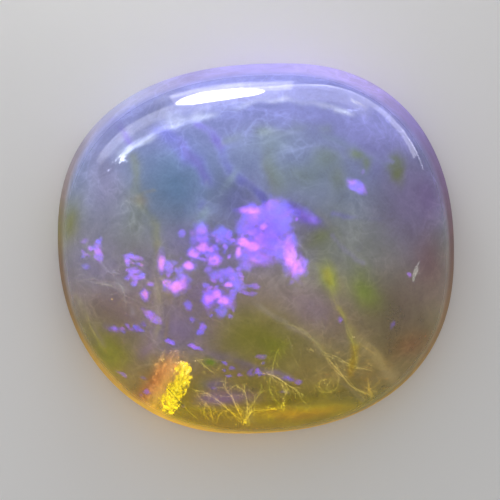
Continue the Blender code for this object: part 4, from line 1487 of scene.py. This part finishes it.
def add_leaf(name, depth, fray, raggedness, cover, glow, colours, outline):
    """A thin sheet of facets inside the outline."""
    pick = random.Random(5)
    least = [min(point[axis] for point in outline) for axis in (0, 1)]
    most = [max(point[axis] for point in outline) for axis in (0, 1)]
    corners = {}
    for column in range(round((most[0] - least[0]) / LEAF_GRAIN) + 1):
        for row in range(round((most[1] - least[1]) / LEAF_GRAIN) + 1):
            right = least[0] + (column + pick.uniform(-LEAF_UNEVEN, LEAF_UNEVEN)) * LEAF_GRAIN
            up = least[1] + (row + pick.uniform(-LEAF_UNEVEN, LEAF_UNEVEN)) * LEAF_GRAIN
            deep = depth + pick.uniform(0, LEAF_RELIEF)
            place = seen_through(right, up, deep)[0]
            if place is not None and place.z > LOWEST_STRAND and inside_outline(right, up, outline):
                corners[column, row] = (right, up, deep)
    build = bmesh.new()
    within = build.verts.layers.float.new("within")
    top, base = {}, {}
    for key, (right, up, deep) in corners.items():
        away = distance_to_path(np.array([right]), np.array([up]), outline + outline[:1])[0]
        for side, extra in ((top, 0), (base, LEAF_THICKNESS)):
            side[key] = build.verts.new(seen_through(right, up, deep + extra)[0])
            side[key][within] = away
    for column, row in corners:
        around = [(column, row), (column + 1, row), (column + 1, row + 1), (column, row + 1)]
        if all(key in corners for key in around):
            build.faces.new([top[key] for key in around])
            build.faces.new([base[key] for key in reversed(around)])
    bmesh.ops.delete(build, geom=[v for v in build.verts if not v.link_faces], context="VERTS")
    pairs = {v: base[key] for key, v in top.items() if v.is_valid}
    for edge in [e for e in build.edges if e.is_boundary]:
        first, second = edge.link_loops[0].vert, edge.link_loops[0].link_loop_next.vert
        if first in pairs and second in pairs:
            build.faces.new((second, first, pairs[first], pairs[second]))
    mesh = bpy.data.meshes.new(name)
    build.to_mesh(mesh)
    build.free()
    mesh.materials.append(leaf_finish(name, fray, raggedness, cover, glow, colours))
    leaf = new_object(name, mesh)
    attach(leaf, "root")
    print(name, "faces:", len(mesh.polygons))


for name, settings in LEAVES.items():
    add_leaf(name, *settings)

# %% [markdown]
# The stone lies on a pale matt board. Panels low behind it light it softly and show in its polish
# as the bright zone under the upper edge, and a small oval one gives the brightest shine. Three
# narrow strips stand nearer to the stone. They only show in the polish, and sharpen the zone's edge.

# %% Floor, light and air
FLOOR_GAP = 0.02 * MM
FLOOR_REACH = 0.6  # metres from the middle to each side


def add_floor():
    """A pale matt board under the stone, which is not a part of it."""
    corners = [(-1, -1), (1, -1), (1, 1), (-1, 1)]
    mesh = bpy.data.meshes.new("floor")
    mesh.from_pydata(
        [(x * FLOOR_REACH, y * FLOOR_REACH, -FLOOR_GAP) for x, y in corners], [], [(0, 1, 2, 3)]
    )
    floor = new_object("floor", mesh)
    material, _, shader = new_finish("matt pale board")
    shader.inputs["Base Color"].default_value = (*linear("#f2f1ee"), 1)
    shader.inputs["Roughness"].default_value = 0.7
    mesh.materials.append(material)


def add_panel(name, shape, direction, distance, bottom, top, width, radiance, colour, shine=False):
    """An upright panel light that faces the stone: its direction in degrees, the rest in metres.

    One made for its shine alone shows in the polish and lights nothing else."""
    light = bpy.data.lights.new(name, "AREA")
    light.shape = shape
    light.size, light.size_y = width, top - bottom
    share = math.pi / 4 if shape == "ELLIPSE" else 1  # of the panel's box that shines
    light.energy = radiance * math.pi * width * (top - bottom) * share
    light.color = linear(colour)
    panel = bpy.data.objects.new(name, light)
    turn = math.radians(direction)
    towards = Vector((math.cos(turn), math.sin(turn), 0))
    panel.location = towards * distance + Vector((0, 0, (bottom + top) / 2))
    panel.rotation_euler = towards.to_track_quat("Z", "Y").to_euler()
    panel.visible_camera = False
    panel.visible_diffuse = not shine
    bpy.context.scene.collection.objects.link(panel)


def add_world(colour, back, sides, front):
    """Soft light from all round, strongest behind the stone's upper edge."""
    world = bpy.data.worlds.new("pale studio")
    world.use_nodes = True
    tree = world.node_tree
    background = tree.nodes["Background"]
    background.inputs["Color"].default_value = (*linear(colour), 1)
    direction = add_node(tree, "ShaderNodeTexCoord").outputs["Generated"]
    towards_back = add_node(tree, "ShaderNodeSeparateXYZ", None, {0: direction}).outputs["Y"]
    near = eased(tree, towards_back, -0.9, 0.0, front, sides)
    far = eased(tree, towards_back, 0.2, 0.9, 0.0, back - sides)
    tree.links.new(calculate(tree, "ADD", near, far), background.inputs["Strength"])
    bpy.context.scene.world = world


add_floor()
add_panel("wide back panel", "RECTANGLE", 103, 0.26, 0.0, 0.036, 0.60, 2.4, "#eaeaff")
add_panel("left arch", "ELLIPSE", 119, 0.25, -0.072, 0.072, 0.30, 2.2, "#e2e6ff")
add_panel("right back panel", "RECTANGLE", 72, 0.25, 0.0, 0.042, 0.19, 1.6, "#eaeaff")
add_panel("bright oval", "ELLIPSE", 102, 0.0297, 0.0003, 0.0046, 0.0124, 40.0, "#ffffff")
add_panel("near shine", "RECTANGLE", 99, 0.0200, 0.0, 0.0028, 0.0115, 5.2, "#eaeaff", shine=True)
add_panel("near right shine", "RECTANGLE", 62, 0.029, 0.0, 0.0024, 0.041, 5.0, "#eaeaff", shine=True)
add_panel("thin arc", "RECTANGLE", 58, 0.029, 0.0, 0.0005, 0.043, 6.5, "#e8e8ff", shine=True)
add_world("#f2f2f4", 0.9, 0.62, 0.30)
bpy.context.scene.view_settings.view_transform = "Standard"
print("lights:", len(bpy.data.lights))
